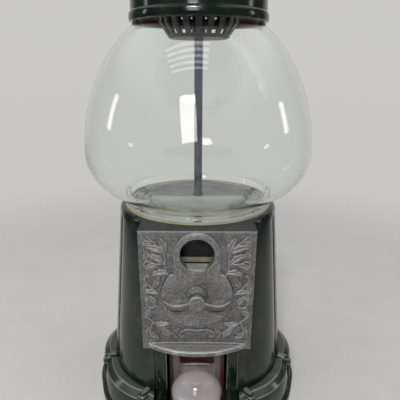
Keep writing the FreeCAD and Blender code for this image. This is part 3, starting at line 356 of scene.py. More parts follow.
# %% Pewter
def pewter():
    metal = Finish("pewter", Metallic=0.6, IOR=1.6)
    x, front, height = metal.axis("X"), metal.axis("Y") * -1.0, metal.axis("Z")
    blotch = metal.noise(13, 4).between(0.3, 0.72)
    grain = metal.noise(1.9, 2).between(0.38, 0.62)
    pits = metal.noise(0.8, 3)
    lip_centre, disc_centre = mm(18, 127.6)
    from_lip_centre = x.distance(front - lip_centre)
    from_disc_centre = x.distance(height - disc_centre)

    # Bands on the leaf tops, the coin face, the wing ridges, the hub rings, the lip, its bead and the plate's
    # top edge: painted highlights, partly wear from rubbing.
    leaves = band(75.8, 76.4, 0.4, front)
    coin_face = band(77.2, 77.7, 0.3, front) + band(77.7, 78.7, 0.2, front) * 0.12
    wing_ridge = band(88.7, 89.0, 0.3, front)
    hub_rings = band(90.8, 91.3, 0.2, front) + band(83.9, 84.9, 0.3, front)
    lip_edge = band(66.6, 68.1, 0.4, from_lip_centre) * band(83.7, 84.8, 0.3, height)
    lip_bead = band(84.7, 85.6, 0.3, height) * ramp(75.2, 75.6, front)
    plate_top = ramp(176.7, 177.3, height) * ramp(73.5, 74.5, front)
    rubbed_and_highlit = leaves * 0.6 + coin_face + wing_ridge + hub_rings + lip_edge + lip_bead + plate_top
    # Random blotches, pits and grain are real wear; the bands above add painted highlights to it.
    wear_and_highlight = blotch * 0.16 + rubbed_and_highlit * 0.45 + pits.between(0.42, 0.7) * 0.38 + grain * 0.22

    # Dark bands: painted shade in the crevice at the leaf feet, a painted shadow line round the coin face,
    # painted shade on the wings' upper faces, under the wings and on the plate's top behind its edge.
    leaf_foot = band(75.06, 75.3, 0.1, front) * ramp(88.0, 88.6, height)
    disc_foot = band(26.3, 26.9, 0.3, from_disc_centre) * (1 - ramp(77.0, 77.6, front))
    disc_foot = disc_foot * (1 - ramp(141, 144, height))
    wing_back = band(85.2, 88.4, 0.3, front) * ramp(120, 120.5, height)
    wing_under = band(84.3, 88.4, 0.3, front) * band(102, 120.9, 1.8, height)
    ledge = ramp(177.55, 177.7, height) * (1 - ramp(74.2, 74.6, front))
    painted_shade = leaf_foot * 0.6 + disc_foot * 0.7 + wing_back * 0.4 + wing_under * 0.7 + ledge * 0.85

    patina = metal.noise(7, 3).between(0.35, 0.65).blend(srgb(90, 87, 82), srgb(84, 85, 92))
    # The painted highlights and the wear lighten the tone here.
    bright = wear_and_highlight.blend(patina, srgb(176, 175, 173))
    # Painted shade darkens the tone here.
    tone = painted_shade.blend(bright, srgb(46, 46, 48))
    metal.feed(Base_Color=tone, Roughness=0.56 - wear_and_highlight * 0.16 + pits * 0.1)
    return metal.bump(pits + metal.noise(2.8, 2) * 0.6 + grain * 0.35, 0.4, 0.95).material


shelve("pewter", pewter())


# %% [markdown]
# ## Steel, zinc, die casting, brass and chrome
# Working metals differ in colour, in how they were made and in how much they have dulled.
# Rolled, drawn or turned metal shows fine lines along its length, and a casting shows a grain.
# One recipe covers them: a dull and a clean tone, a roughness, and the size, stretch and depth of the lines.

# %% Working metals
def worked_metal(name, dark, bright, rough, line_mm, stretch, depth_mm):
    """Metal with lines or grain, from a dull to a clean tone."""
    metal = Finish(name, Metallic=1.0)
    lines = metal.noise(line_mm, 3, stretch)
    stain = metal.noise(14, 4).between(0.35, 0.7)
    tone = (stain * 0.6 + lines * 0.4).blend(dark, bright)
    metal.feed(Base_Color=tone, Roughness=rough + lines * 0.14 + (1 - stain) * 0.12)
    return metal.bump(lines, depth_mm, 0.4).material


rolled, drawn, turned, cast = (20, 1, 1), (1, 1, 30), (1, 1, 8), (1, 1, 1)
metals = {
    "steel": (srgb(64, 66, 76), srgb(124, 126, 137), 0.07, 0.5, drawn, 0.02),
    "zinc_sheet": (srgb(114, 117, 119), srgb(148, 151, 153), 0.45, 0.7, rolled, 0.02),
    # The die casting's pale tones are partly painted light: raised so that the coin ramp, which sits in shade
    # deep in the window, still looks pale.
    "die_cast": (srgb(176, 176, 176), srgb(214, 214, 213), 0.5, 1.2, cast, 0.12),
    "brass": (srgb(122, 116, 100), srgb(172, 165, 146), 0.36, 0.6, rolled, 0.03),
    "chrome": (srgb(170, 170, 172), srgb(205, 205, 208), 0.1, 0.8, turned, 0.01),
}
for name, row in metals.items():
    shelve(name, worked_metal(name, *row))


# %% [markdown]
# ## Moulded plastic and rubber
# The wheel and the hopper are grey moulded plastic with a satin skin and faint flow marks, and the cage
# under the lid is smoky. The chute is glossy red plastic, and the seals and the pad are rubber.
# Handling leaves dull patches, so the roughness wanders more than the colour does.

# %% Plastics and rubbers
def moulded(name, deep, light, rough, skin_mm, depth_mm):
    """Plastic or rubber with flow marks, a fine skin and dull patches."""
    body = Finish(name, IOR=1.48)
    flow = body.noise(26, 3, (1, 1, 2.5)).between(0.3, 0.7)
    skin = body.noise(skin_mm, 3)
    grime = body.noise(5, 5).between(0.55, 0.8)
    tone = (flow * 0.7 + skin * 0.3).blend(deep, light)
    body.feed(Base_Color=tone, Roughness=rough + grime * 0.18 + skin * 0.06)
    return body.bump(skin, depth_mm, 0.35).material


plastics = {
    "grey_plastic": (srgb(156, 158, 153), srgb(178, 180, 174), 0.4, 0.8, 0.06),
    "red_plastic": (srgb(48, 12, 15), srgb(66, 18, 22), 0.3, 1.0, 0.04),
    "red_seal": (srgb(60, 20, 24), srgb(80, 28, 33), 0.5, 0.7, 0.06),
    "cream_gasket": (srgb(158, 147, 124), srgb(184, 175, 154), 0.45, 0.9, 0.06),
    "rubber": (srgb(24, 24, 25), srgb(40, 40, 40), 0.62, 0.6, 0.1),
}
for name, row in plastics.items():
    shelve(name, moulded(name, *row))


# %% [markdown]
# ## Glass and clear plastic
# The globe is blown glass with a wall of real thickness, so refraction makes its edges by itself.
# Light that only passes through should not leave a dark shadow, so a Mix Shader lets shadow rays and
# soft bounces go straight on. The flap is older clear plastic, hazy and warm, and its dome is milky.

# %% Clear finishes
def see_through(name, tint, rough, haze, ior, milk=None):
    """A clear solid that lets light through. Milk gives two places, in millimetres, where it clouds."""
    clear = Finish(name, Base_Color=tint, Transmission_Weight=1.0, IOR=ior)
    smear = clear.noise(24, 4).between(0.5, 0.8)
    clear.feed(Roughness=rough + smear * haze)
    clear.bump(clear.noise(30, 1), 0.05, 0.15)
    shell = Wire(clear.tree, clear.shader.outputs[0])
    if milk:
        pearl = {"Base Color": srgb(224, 221, 222), "Roughness": rough, "IOR": 1.5}
        cloudy = clear.start.node("BsdfPrincipled", {}, pearl)
        rim = clear.start.node("LayerWeight", {}, {"Blend": 0.4}, "Facing")
        share = ramp(*milk, clear.axis("Y") * -1.0) * (rim * 0.5 + 0.2) + 0.06
        shell = clear.mixed(share, shell, cloudy)
    open_way = clear.start.node("BsdfTransparent", {}, {"Color": tint})
    passing = clear.start.ray("Shadow").either(clear.start.ray("Diffuse"))
    clear.surface(clear.mixed(passing, shell, open_way))
    return clear.material


shelve("clear_plastic", see_through("clear_plastic", srgb(226, 216, 218), 0.04, 0.1, 1.4, milk=(58.8, 65)))
shelve("glass", see_through("glass", srgb(251, 253, 251), 0.0, 0.02, 1.46))


# %% [markdown]
# ## Handing out the finishes
# The record names a material slot for each node, so the mechanism is dressed by a loop over the nodes.
# A few pieces deep inside the window and under the lid are darker than their slot's finish: they get a darker
# version of the same recipe.

# %% One material for each slot of the record
slot_of = {row["node"]: row["material_slot"] for row in frame["record"]["subparts"]}
for name, node in nodes.items():
    node.data.materials.clear()
    node.data.materials.append(finishes[slot_of[name]])
smoked = moulded("smoked_plastic", srgb(36, 37, 33), srgb(54, 55, 49), 0.34, 0.8, 0.05)
blackened = worked_metal("blackened_sheet", srgb(52, 52, 54), srgb(78, 78, 81), 0.5, 0.7, rolled, 0.02)
for name in ("mech_back_plate", "coin_carrier"):
    nodes[name].data.materials[0] = blackened
print("finishes", len(finishes), "on", len(slot_of), "nodes")


# %% [markdown]
# ## Modelling by hand, in code
# Operators act on whatever is selected, so a piece starts with nothing else selected, and its edges are
# then picked by where they are. Sizes are in millimetres, as on the machine's drawing.
# A turned shape is the oldest trick in the shop: draw half of the outline once, then spin it.

# %% Drawing and spinning
def only(*pieces):
    """Selects these pieces and nothing else, with the first of them active."""
    bpy.ops.object.select_all(action="DESELECT")
    for piece in pieces:
        piece.select_set(True)
    if pieces:
        bpy.context.view_layer.objects.active = pieces[0]


def new_piece(name):
    """Names the piece that an operator has just added."""
    piece = bpy.context.object
    piece.name = piece.data.name = name
    return piece


def first_corner(name, point):
    """A new piece with a single corner, in millimetres, to be extruded further."""
    only()
    bpy.ops.mesh.primitive_plane_add(size=0.001)
    piece = new_piece(name)
    bpy.ops.object.mode_set(mode="EDIT")
    bpy.ops.mesh.select_mode(type="VERT")
    bpy.ops.mesh.merge(type="CENTER")
    bpy.ops.transform.translate(value=mm(*point))
    return piece


def draw_on(points):
    """Extrudes the selected corner through the next points."""
    here = Vector(points[0])
    for point in points[1:]:
        step = Vector(point) - here
        bpy.ops.mesh.extrude_region_move(TRANSFORM_OT_translate={"value": mm(*step)})
        here = Vector(point)


def spun(name, outline, steps=128, along="Z", centre=(0, 0, 0)):
    """Spins an outline of (radius, place along the axis) points, in millimetres, into a closed shape."""
    axis = {"Y": (0, 1, 0), "Z": (0, 0, 1)}[along]
    points = [(r, 0, h) if along == "Z" else (r, h, 0) for r, h in outline]
    points = [tuple(a + b for a, b in zip(point, centre)) for point in points]
    piece = first_corner(name, points[0])
    draw_on(points)
    bpy.ops.mesh.select_all(action="SELECT")
    bpy.ops.mesh.spin(steps=steps, angle=2 * math.pi, center=mm(*centre), axis=axis)
    bpy.ops.mesh.select_all(action="SELECT")
    bpy.ops.mesh.remove_doubles(threshold=1e-6)
    bpy.ops.mesh.normals_make_consistent(inside=False)
    bpy.ops.object.mode_set(mode="OBJECT")
    return piece


def rounded(corners, radius_mm, steps=4):
    """An outline whose corners become small arcs, of their own size where a third value gives it."""
    points = []
    for i, (r, h, *cut) in enumerate(corners):
        reach = cut[0] if cut else radius_mm
        here = Vector((r, h))
        if reach == 0 or i in (0, len(corners) - 1):
            points.append((r, h))
            continue
        before = (Vector(corners[i - 1][:2]) - here).normalized() * reach
        after = (Vector(corners[i + 1][:2]) - here).normalized() * reach
        for k in range(steps + 1):
            t = k / steps
            spot = here + before * (1 - t) ** 2 + after * t ** 2
            points.append(tuple(spot))
    return points


print("outlines can be drawn, rounded and spun")


# %% Handing a piece over
def finish_piece(piece, body, slot, *replaced, smooth=35):
    """Shades a piece, gives it its slot's finish and hangs it on its body."""
    only(piece)
    bpy.ops.object.transform_apply(location=True, rotation=True, scale=True)
    bpy.ops.object.shade_smooth_by_angle(angle=math.radians(smooth))
    piece.data.materials.clear()
    piece.data.materials.append(finishes[slot])
    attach(piece, body)
    if replaced:
        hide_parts(*replaced)
    print(piece.name, "faces", len(piece.data.polygons))


# %% [markdown]
# ## Glass globe
# The globe is blown in a mould: a bowl that swells to a belly and draws in to a neck, with a short straight
# foot that stands on the gasket. Its outline is two half ellipses that share the belly, drawn once outside
# and once inside, so the wall is real and light bends at its edges as it does in thick glass.
# Blown glass has no sharp corner, so the bowl runs into its foot and its neck with small bends.

# %% Globe
belly_radius, belly_z = 93.0, 222.0
foot_radius, foot_top_z, foot_z = 61.5, 184.5, 179.5
neck_radius, neck_low_z, neck_top_z = 50.0, 321.7, 330.0
glass_wall, brim, bend = 3.0, 1, 3.4


def globe_side(inset, count=36):
    """The globe's outline from foot to neck, moved in by the wall, with a bend at both ends."""
    belly, foot, neck = belly_radius - inset, foot_radius - inset, neck_radius - inset
    bowl_depth = (belly_z - foot_top_z) / math.sqrt(1 - (foot_radius / belly_radius) ** 2) - inset
    crown_rise = (neck_low_z - belly_z) / math.sqrt(1 - (neck_radius / belly_radius) ** 2) - inset
    low, high = -math.acos(foot / belly), math.acos(neck / belly)
    profile = []
    for i in range(count + 1):
        angle = low + (high - low) * i / count
        rise = bowl_depth if angle < 0 else crown_rise
        profile.append((belly * math.cos(angle), belly_z + rise * math.sin(angle)))
    profile[0] += (bend,)
    profile[-1] += (bend,)
    return profile


def brim_of(radius, edge_z, inner_z):
    """The rounded end of the wall, from its outer to its inner face."""
    return [(radius, inner_z), (radius - brim, edge_z), (radius - glass_wall + brim, edge_z),
            (radius - glass_wall, inner_z)]


neck_brim = brim_of(neck_radius, neck_top_z, neck_top_z - brim)
foot_brim = brim_of(foot_radius, foot_z, foot_z + brim)[::-1]
globe_outline = foot_brim + globe_side(0) + neck_brim + globe_side(glass_wall)[::-1] + foot_brim[:1]
globe_glass = spun("globe_glass", rounded(globe_outline, 0, steps=8), steps=160)
finish_piece(globe_glass, "base", "glass", "globe", smooth=50)


# %% [markdown]
# ## Lid
# The lid is a casting too: a bead at the rim, a plain band, a step and a low dome with a boss for the nut.
# The outline gets small arcs at its corners, because a painted casting has no sharp edge and the highlights
# that run round these corners are what makes it look like metal.

# %% Lid
def low_dome(radius, base_z, rise, angles):
    """Points on the outline of a low dome, at these angles above its rim."""
    turns = [math.radians(angle) for angle in angles]
    return [(radius * math.cos(t), base_z + rise * math.sin(t)) for t in turns]


lid_side = [(44.5, 333.9), (50.4, 333.9, 0.5), (51.1, 322.4, 0.3), (53.6, 322.0, 1.2), (54.4, 325.0, 2.2),
            (53.7, 328.6, 1.0), (52.7, 329.4, 0.5), (52.6, 341.8, 1.8), (46.4, 345.0, 1.6)]
lid_boss = [(11.3, 361.5), (11.0, 362.0), (6.4, 362.0), (6.4, 356.0), (11.0, 354.0)]
lid_outline = rounded(lid_side, 1.0) + low_dome(46.0, 345.0, 17.0, range(8, 76, 4)) + lid_boss
lid_outline += low_dome(43.4, 342.6, 16.0, range(72, 4, -6)) + [(43.6, 342.0), (43.6, 333.9)]
lid_casting = spun("lid_casting", lid_outline + lid_side[:1], steps=144)
finish_piece(lid_casting, "lid", "green_enamel", "lid")


# %% [markdown]
# ## Wing handle
# The handle is one casting: a hub with stepped collars and two wings that droop and curl up like a
# moustache. A wing changes its section all along its length, so it is lofted: rings of points are set
# at a row of stations, bridged, and smoothed by a subdivision surface with a creased ridge.

# %% Lofting through rings
def lofted(name, sections):
    """Bridges closed rings of points, in millimetres, and caps both ends."""
    only()
    bpy.ops.mesh.primitive_circle_add(vertices=len(sections[0]), radius=0.001)
    piece = new_piece(name)
    bpy.ops.object.mode_set(mode="EDIT")
    bpy.ops.mesh.select_mode(type="VERT")
    for i, section in enumerate(sections):
        if i:
            bpy.ops.mesh.select_all(action="DESELECT")
            bpy.ops.mesh.primitive_circle_add(vertices=len(section), radius=0.001)
        mesh = bmesh.from_edit_mesh(piece.data)
        for corner, point in zip([c for c in mesh.verts if c.select], section):
            corner.co = mm(*point)
        bmesh.update_edit_mesh(piece.data)
    bpy.ops.mesh.select_all(action="SELECT")
    bpy.ops.mesh.bridge_edge_loops()
    bpy.ops.mesh.select_all(action="SELECT")
    bpy.ops.mesh.fill_holes(sides=0)
    bpy.ops.mesh.normals_make_consistent(inside=False)
    bpy.ops.object.mode_set(mode="OBJECT")
    return piece


wing_reach = [3.0, 7.0, 11.5, 16.0, 20.0, 23.2, 25.0]
print("wing stations", len(wing_reach))


# %% Editing, modifiers and joining
@contextmanager
def editing(piece):
    """Edit mode on one piece, with nothing else selected."""
    only(piece)
    bpy.ops.object.mode_set(mode="EDIT")
    yield
    bpy.ops.object.mode_set(mode="OBJECT")


def middle_of(edge):
    """The middle of an edge, in millimetres."""
    return (edge.verts[0].co + edge.verts[1].co) * (1000 / 2)


def pick_edges(test):
    """Selects the edges whose middle passes a test."""
    bpy.ops.mesh.select_mode(type="EDGE")
    bpy.ops.mesh.select_all(action="DESELECT")
    mesh = bmesh.from_edit_mesh(bpy.context.object.data)
    for edge in mesh.edges:
        edge.select_set(bool(test(middle_of(edge))))
    mesh.select_flush_mode()
    bmesh.update_edit_mesh(bpy.context.object.data)


def apply_modifier(piece, kind, **settings):
    """Adds a modifier with its settings and applies it."""
    only(piece)
    modifier = piece.modifiers.new(kind.lower(), kind)
    for key, value in settings.items():
        setattr(modifier, key, value)
    bpy.ops.object.modifier_apply(modifier=modifier.name)


def joined(name, pieces):
    """Joins pieces into one mesh."""
    only(*pieces)
    bpy.ops.object.join()
    return new_piece(name)


print("editing tools ready")


# %% Handle
shaft_z = 129.0
wing_top = [2.4, 1.2, 0.4, 0.8, 2.2, 3.4, 2.6]
wing_ridge = [0.4, -0.8, -2.2, -3.0, -1.9, 0.9, 1.8]
wing_bottom = [-6.6, -8.0, -9.4, -9.8, -8.4, -4.8, -0.8]
ridge_y, brim_y, back_y = -88.9, -85.7, -84.4
wing_sections = []
for reach, top, ridge, bottom in zip(wing_reach, wing_top, wing_ridge, wing_bottom):
    upper_z, lower_z, back_z = top * 0.55 + ridge * 0.45, ridge * 0.5 + bottom * 0.5, top * 0.5 + bottom * 0.5
    ring = [(brim_y, top), (brim_y - 0.5, upper_z), (ridge_y, ridge), (ridge_y + 0.8, lower_z),
            (ridge_y + 1.3, bottom), (back_y, bottom + 0.6), (back_y, back_z), (back_y, top - 0.6)]
    wing_sections.append([(reach, y, shaft_z + z) for y, z in ring])
wing = lofted("wing", wing_sections)
with editing(wing):
    pick_edges(lambda middle: middle.y < ridge_y + 0.1)
    bpy.ops.transform.edge_crease(value=0.7)
apply_modifier(wing, "SUBSURF", levels=3, render_levels=3)
apply_modifier(wing, "MIRROR")
hub_outline = [(0, -91.5), (5.2, -91.5, 0.5), (5.8, -90.8, 0.3), (5.9, -85.6, 0.2), (6.5, -85.2, 0.3),
               (6.5, -83.6, 0.3), (6.1, -83.3, 0.2), (7.2, -82.9, 0.3), (7.2, -81.5, 0.3), (6.8, -81.2, 0.2),
               (8.0, -80.7, 0.3), (8.0, -78.4, 0.2), (4.2, -78.4, 0.1), (4.2, -84.0, 0.1), (0, -84.0)]
hub = spun("hub", rounded(hub_outline, 0.3, steps=3), 72, "Y", (0, 0, shaft_z))
handle_casting = joined("handle_casting", [wing, hub])
finish_piece(handle_casting, "handle", "pewter", "wing_handle", "handle_set_screw", smooth=40)


# %% [markdown]
# ## Coin face
# A raised plate carries the coin window above and the handle below. Its outline is an arch that runs down
# to two small pointed ears and then spreads into a disc. The outline is filled, pushed forward, and its
# front edge is bevelled, because cast metal always wears to a bright rounded edge.
# The two holes are drilled, and a raised ring is set round the window.

# %% Outline of the coin face
window_z, window_radius, arch_half, ear_z = 160.5, 12.5, 17.0, 144.4
face_back_y, face_front_y, disc_z, disc_radius = -75.0, -78.0, 127.6, 26.5
face_bevel, shaft_hole_radius, drill_y, drill_length = 0.9, 4.6, -76, 20


def arc(centre_x, centre_z, radius, start, end, count):
    """Points of an arc in the plate's plane, from start to end degrees."""
    steps = [math.radians(start + (end - start) * i / count) for i in range(count + 1)]
    return [(centre_x + radius * math.cos(a), centre_z + radius * math.sin(a)) for a in steps]


shoulder = math.degrees(math.asin((ear_z - 0.6 - disc_z) / disc_radius))
ear = [(arch_half, ear_z + 2.5), (arch_half + 0.3, ear_z + 0.9), (arch_half + 2.6, ear_z + 0.7)]
half = arc(0, window_z, arch_half, 90, 0, 14) + ear + arc(0, disc_z, disc_radius, shoulder, -90, 30)[1:]
face_outline = half + [(-x, z) for x, z in half[-2:0:-1]]
print("coin face outline", len(face_outline), "points")


# %% Coin face
def merge_with(piece, tool, operation):
    """Adds or cuts one solid with another, which is used up."""
    apply_modifier(piece, "BOOLEAN", object=tool, operation=operation, solver="EXACT")
    bpy.data.objects.remove(tool)


def drill(piece, radius, z):
    """Cuts a round hole along Y through the middle of a piece, at a height."""
    only()
    bpy.ops.mesh.primitive_cylinder_add(vertices=96, radius=radius * 0.001, depth=drill_length * 0.001,
                                        location=mm(0, drill_y, z), rotation=(math.pi / 2, 0, 0))
    merge_with(piece, new_piece("drill_bit"), "DIFFERENCE")


coin_face = first_corner("coin_face", (half[0][0], face_back_y, half[0][1]))
draw_on([(x, face_back_y, z) for x, z in face_outline])
bpy.ops.mesh.select_all(action="SELECT")
bpy.ops.mesh.edge_face_add()
bpy.ops.mesh.extrude_region_move(TRANSFORM_OT_translate={"value": mm(0, face_front_y - face_back_y, 0)})
bpy.ops.mesh.select_all(action="SELECT")
bpy.ops.mesh.normals_make_consistent(inside=False)
pick_edges(lambda middle: middle.y < face_front_y + 0.1)
bpy.ops.mesh.bevel(offset=face_bevel * 0.001, segments=3)
bpy.ops.object.mode_set(mode="OBJECT")
drill(coin_face, window_radius, window_z)
drill(coin_face, shaft_hole_radius, shaft_z)
ring_outline = [(12.5, -75.2), (12.5, -78.2, 0.2), (12.9, -78.5, 0.2), (15.3, -78.5, 0.3),
                (15.8, -78.0, 0.2), (15.8, -75.2), (12.5, -75.2)]
window_ring = spun("window_ring", rounded(ring_outline, 0.3, steps=3), 96, "Y", (0, 0, window_z))
coin_face = joined("coin_face", [coin_face, window_ring])
finish_piece(coin_face, "base", "pewter", "escutcheon", smooth=40)


# %% [markdown]
# ## Front plate
# The grey front is a cast box: a face that leans in a little at the bottom, side walls, and a half-moon lip
# over the mouth. The CAD shape is right but knife-sharp. Its triangles are merged back into plain faces,
# and the long outer edges get a narrow bevel for the light to run along.

# %% Softening a CAD shape
flat_angle, keen_angle = math.radians(0.5), math.radians(30)


def softened_copy(name, node, test, width_mm, reshape=None):
    """A merged copy of a CAD node, with the sharp outer edges that pass a test bevelled."""
    copy = bpy.data.objects.new(name, nodes[node].data.copy())
    copy.data.name = name
    bpy.context.collection.objects.link(copy)
    with editing(copy):
        bpy.ops.mesh.select_all(action="SELECT")
        bpy.ops.mesh.remove_doubles(threshold=1e-5)
        bpy.ops.mesh.dissolve_limited(angle_limit=flat_angle)
        mesh = bmesh.from_edit_mesh(copy.data)
        for corner in mesh.verts if reshape else []:
            corner.co = mm(*reshape(corner.co * 1000))
        mesh.normal_update()
        keen = {edge.index for edge in mesh.edges
                if len(edge.link_faces) == 2 and edge.calc_face_angle_signed(0) > keen_angle}
        bpy.ops.mesh.select_mode(type="EDGE")
        bpy.ops.mesh.select_all(action="DESELECT")
        for edge in mesh.edges:
            edge.select_set(edge.index in keen and bool(test(middle_of(edge))))
        bmesh.update_edit_mesh(copy.data)
        bpy.ops.mesh.bevel(offset=width_mm * 0.001, segments=3, clamp_overlap=True)
    return copy


print("edges count as sharp from", round(math.degrees(keen_angle)), "degrees")


# %% Front plate
window_clear, shaft_clear, wall_back_y = 14, 9, -60.5


def plate_edge(middle):
    """The plate's outer edges, away from the window and the shaft's hole."""
    at_window = math.hypot(middle.x, middle.z - window_z) < window_clear
    at_shaft = math.hypot(middle.x, middle.z - shaft_z) < shaft_clear
    return middle.y < wall_back_y and not (at_window or at_shaft)


plate_casting = softened_copy("plate_casting", "front_plate", plate_edge, 0.9)
finish_piece(plate_casting, "base", "pewter", "front_plate", smooth=30)


# %% [markdown]
# ## Leaf scrolls
# Old vending fronts are often cast with leaf scrolls, which hide scratches and look rich for no extra cost.
# One leaf is shaped from a grid: its rows narrow to a wavy tip, and two swelling halves meet in a sunken
# midrib. Copies of it, turned and scaled, grow from thin stems that are curves.
# The bed between the leaves stays low, so the relief is real geometry and not only a bump.

# %% One leaf
leaf_length, leaf_half, leaf_rise, leaf_sway = 13.0, 2.6, 1.35, 0.9
lobe_depth, lobe_count, tip_half = 0.15, 3, 0.15
leaf_profile = [(-1.0, -0.35), (-0.9, 0.45), (-0.7, 0.85), (-0.45, 0.95), (-0.2, 0.6), (0.0, 0.3),
                (0.2, 0.6), (0.45, 0.95), (0.7, 0.85), (0.9, 0.45), (1.0, -0.35)]


def leaf_width(u):
    """Half the leaf's width at a share of its length, with soft lobes."""
    swell = max(0, math.sin(math.pi * u ** 0.75)) ** 0.8
    return leaf_half * swell * (1 + lobe_depth * math.sin(u * 2 * lobe_count * math.pi)) + tip_half


only()
bpy.ops.mesh.primitive_grid_add(x_subdivisions=22, y_subdivisions=len(leaf_profile) - 1, size=0.002)
leaf = new_piece("leaf")
with editing(leaf):
    mesh = bmesh.from_edit_mesh(leaf.data)
    rows = sorted({round(corner.co.y * 1000, 3) for corner in mesh.verts})
    for corner in mesh.verts:
        u = min(1, max(0, corner.co.x * 500 + 0.5))  # the grid is 2 mm long
        share, lift = leaf_profile[rows.index(round(corner.co.y * 1000, 3))]
        ease = min(1, (1 - u) * 5, u * 8)
        relief = lift * leaf_rise * (0.35 + 0.65 * ease) if lift > 0 else lift
        sway = leaf_sway * math.sin(u * math.pi)
        corner.co = mm(u * leaf_length, -relief, share * leaf_width(u) + sway)
    bmesh.update_edit_mesh(leaf.data)
    bpy.ops.mesh.select_all(action="SELECT")
    bpy.ops.mesh.normals_make_consistent(inside=False)
print("leaf", len(leaf.data.polygons), "faces")

# %% Where stems and leaves grow
stems = [  # x and z on the right half, which is mirrored
    [(20.5, 142), (24, 150), (22.5, 159), (27, 166), (36.5, 174)],
    [(23.5, 153), (30, 151.5), (37, 156), (39.5, 151), (36, 148)],
    [(28.5, 128), (33, 133), (38.5, 138), (38.5, 143), (35.5, 143)],
    [(29.5, 119), (34, 115), (39, 120), (37, 126)],
    [(39, 110), (33, 104), (27, 100), (20, 96), (15.5, 91)],
    [(33, 104), (37, 98), (34, 91)],
]
leaves = [  # x, z, angle and size, on the same half
    (22.8, 161, 66, 1.1), (24.5, 162, 18, 1.15), (30, 168.5, 100, 0.55), (32, 170, -22, 0.75),
    (24, 153, 32, 1.1), (29, 152, -18, 0.85), (37, 155, 84, 0.9), (21.5, 146, -10, 1.05),
    (28.5, 129, 4, 0.95), (33, 133, 116, 0.95), (37.5, 137, -84, 0.8), (30, 119, 48, 0.85),
    (34, 115.5, -58, 0.85), (38.5, 121, 96, 0.75), (37, 108.5, 84, 0.75), (32, 103, 176, 0.95),
    (27, 100, -134, 0.95), (35.5, 101, -84, 0.95), (23, 97.5, 36, 0.7), (36, 96, -140, 0.8),
    (19, 95.5, 150, 0.6), (39, 166, 110, 0.7), (40, 131, 100, 0.6),
]
crest = [(-9.5, 92.5), (-12.5, 91), (-13, 95.5), (-8, 98.4), (0, 96.8),
         (8, 98.4), (13, 95.5), (12.5, 91), (9.5, 92.5)]
crest_leaves = [(-8.5, 97.6, -62, 0.6), (-3.4, 97, -104, 0.5), (3.4, 97, -76, 0.5), (8.5, 97.6, -118, 0.6)]
lip_bead = [(-37, 85.3), (-31, 86.0), (-12, 86.2), (0, 86.2), (12, 86.2), (31, 86.0), (37, 85.3)]
print("stems", len(stems), "leaves", len(leaves))

# %% Stems and leaves on the plate
plate_y, stem_radius, stem_rise = -75.0, 0.8, 0.35


def stem(points):
    """A thin round stem, half sunk in the plate."""
    curve = bpy.data.curves.new("stem", "CURVE")
    curve.dimensions = "3D"
    curve.bevel_depth, curve.bevel_resolution, curve.resolution_u = stem_radius * 0.001, 2, 6
    line = curve.splines.new("NURBS")
    line.points.add(len(points) - 1)
    for point, (x, z) in zip(line.points, points):
        point.co = mm(x, plate_y - stem_rise, z) + (1,)
    line.order_u, line.use_endpoint_u = 3, True
    curve.use_fill_caps = True
    piece = bpy.data.objects.new("stem", curve)
    bpy.context.collection.objects.link(piece)
    return piece


def leaf_at(x, z, turn, size, side):
    """A copy of the leaf that grows from a point at an angle, mirrored for the other side."""
    copy = bpy.data.objects.new("leaf", leaf.data.copy())
    bpy.context.collection.objects.link(copy)
    flip = Matrix.Scale(side, 4, (1, 0, 0))
    swing = Matrix.Rotation(-math.radians(turn), 4, "Y")
    copy.data.transform(flip @ Matrix.Translation(mm(x, plate_y, z)) @ swing @ Matrix.Scale(size, 4))
    if side < 0:
        copy.data.flip_normals()
    return copy


growth = [stem(lip_bead)]
growth += [stem([(side * x, z) for x, z in line]) for side in (1, -1) for line in stems]
growth += [stem(crest)]
growth += [leaf_at(*spot, side) for side in (1, -1) for spot in leaves]
growth += [leaf_at(*spot, 1) for spot in crest_leaves]
only(*growth)
bpy.ops.object.convert(target="MESH")
leaf_scrolls = joined("leaf_scrolls", growth)
bpy.data.objects.remove(leaf)
finish_piece(leaf_scrolls, "base", "pewter", smooth=50)


# %% [markdown]
# ## Base and foot castings
# The base is a lobed, tapering shell and the foot a lobed ring, both cast and then dipped in enamel.
# Enamel draws back from every sharp edge and leaves a round one, and those round edges carry the thin
# bright lines by which a dark glossy shape is read. So the CAD shapes are kept and their edges bevelled.
# Round flutes are cut where two lobes of the base meet, and saddle ribs bridge the lobes of the foot.

# %% Base
groove_angles = [side * angle for angle in (31.0, 73.6, 116.1, 158.7) for side in (1, -1)]
flute_radius, flute_length, flute_y, flute_z = 2.2, 140.0, -71.1, 102
flute_lean = math.atan(10.0 / 131.0)


def outer_edge(low_z, high_z, least_radius):
    """A test for edges on the outside of a casting, between two heights."""
    return lambda middle: low_z < middle.z < high_z and math.hypot(middle.x, middle.y) > least_radius


def turned_copies(piece, angles):
    """Copies of a piece, each turned about the machine's axis by its angle in degrees."""
    copies = []
    for angle in angles:
        copy = bpy.data.objects.new(piece.name, piece.data.copy())
        copy.data.transform(Matrix.Rotation(math.radians(angle), 4, "Z") @ piece.matrix_world)
        bpy.context.collection.objects.link(copy)
        copies.append(copy)
    bpy.data.objects.remove(piece)
    return copies


base_casting = softened_copy("base_casting", "base_body", outer_edge(25, 177, 60), 0.9)
only()
bpy.ops.mesh.primitive_cylinder_add(vertices=32, radius=flute_radius * 0.001, depth=flute_length * 0.001,
                                    location=mm(0, flute_y, flute_z), rotation=(-flute_lean, 0, 0))
bpy.context.view_layer.update()
flutes = joined("flutes", turned_copies(new_piece("flute"), groove_angles[2:]))  # none beside the front
merge_with(base_casting, flutes, "DIFFERENCE")
finish_piece(base_casting, "base", "green_enamel", "base_body", smooth=28)

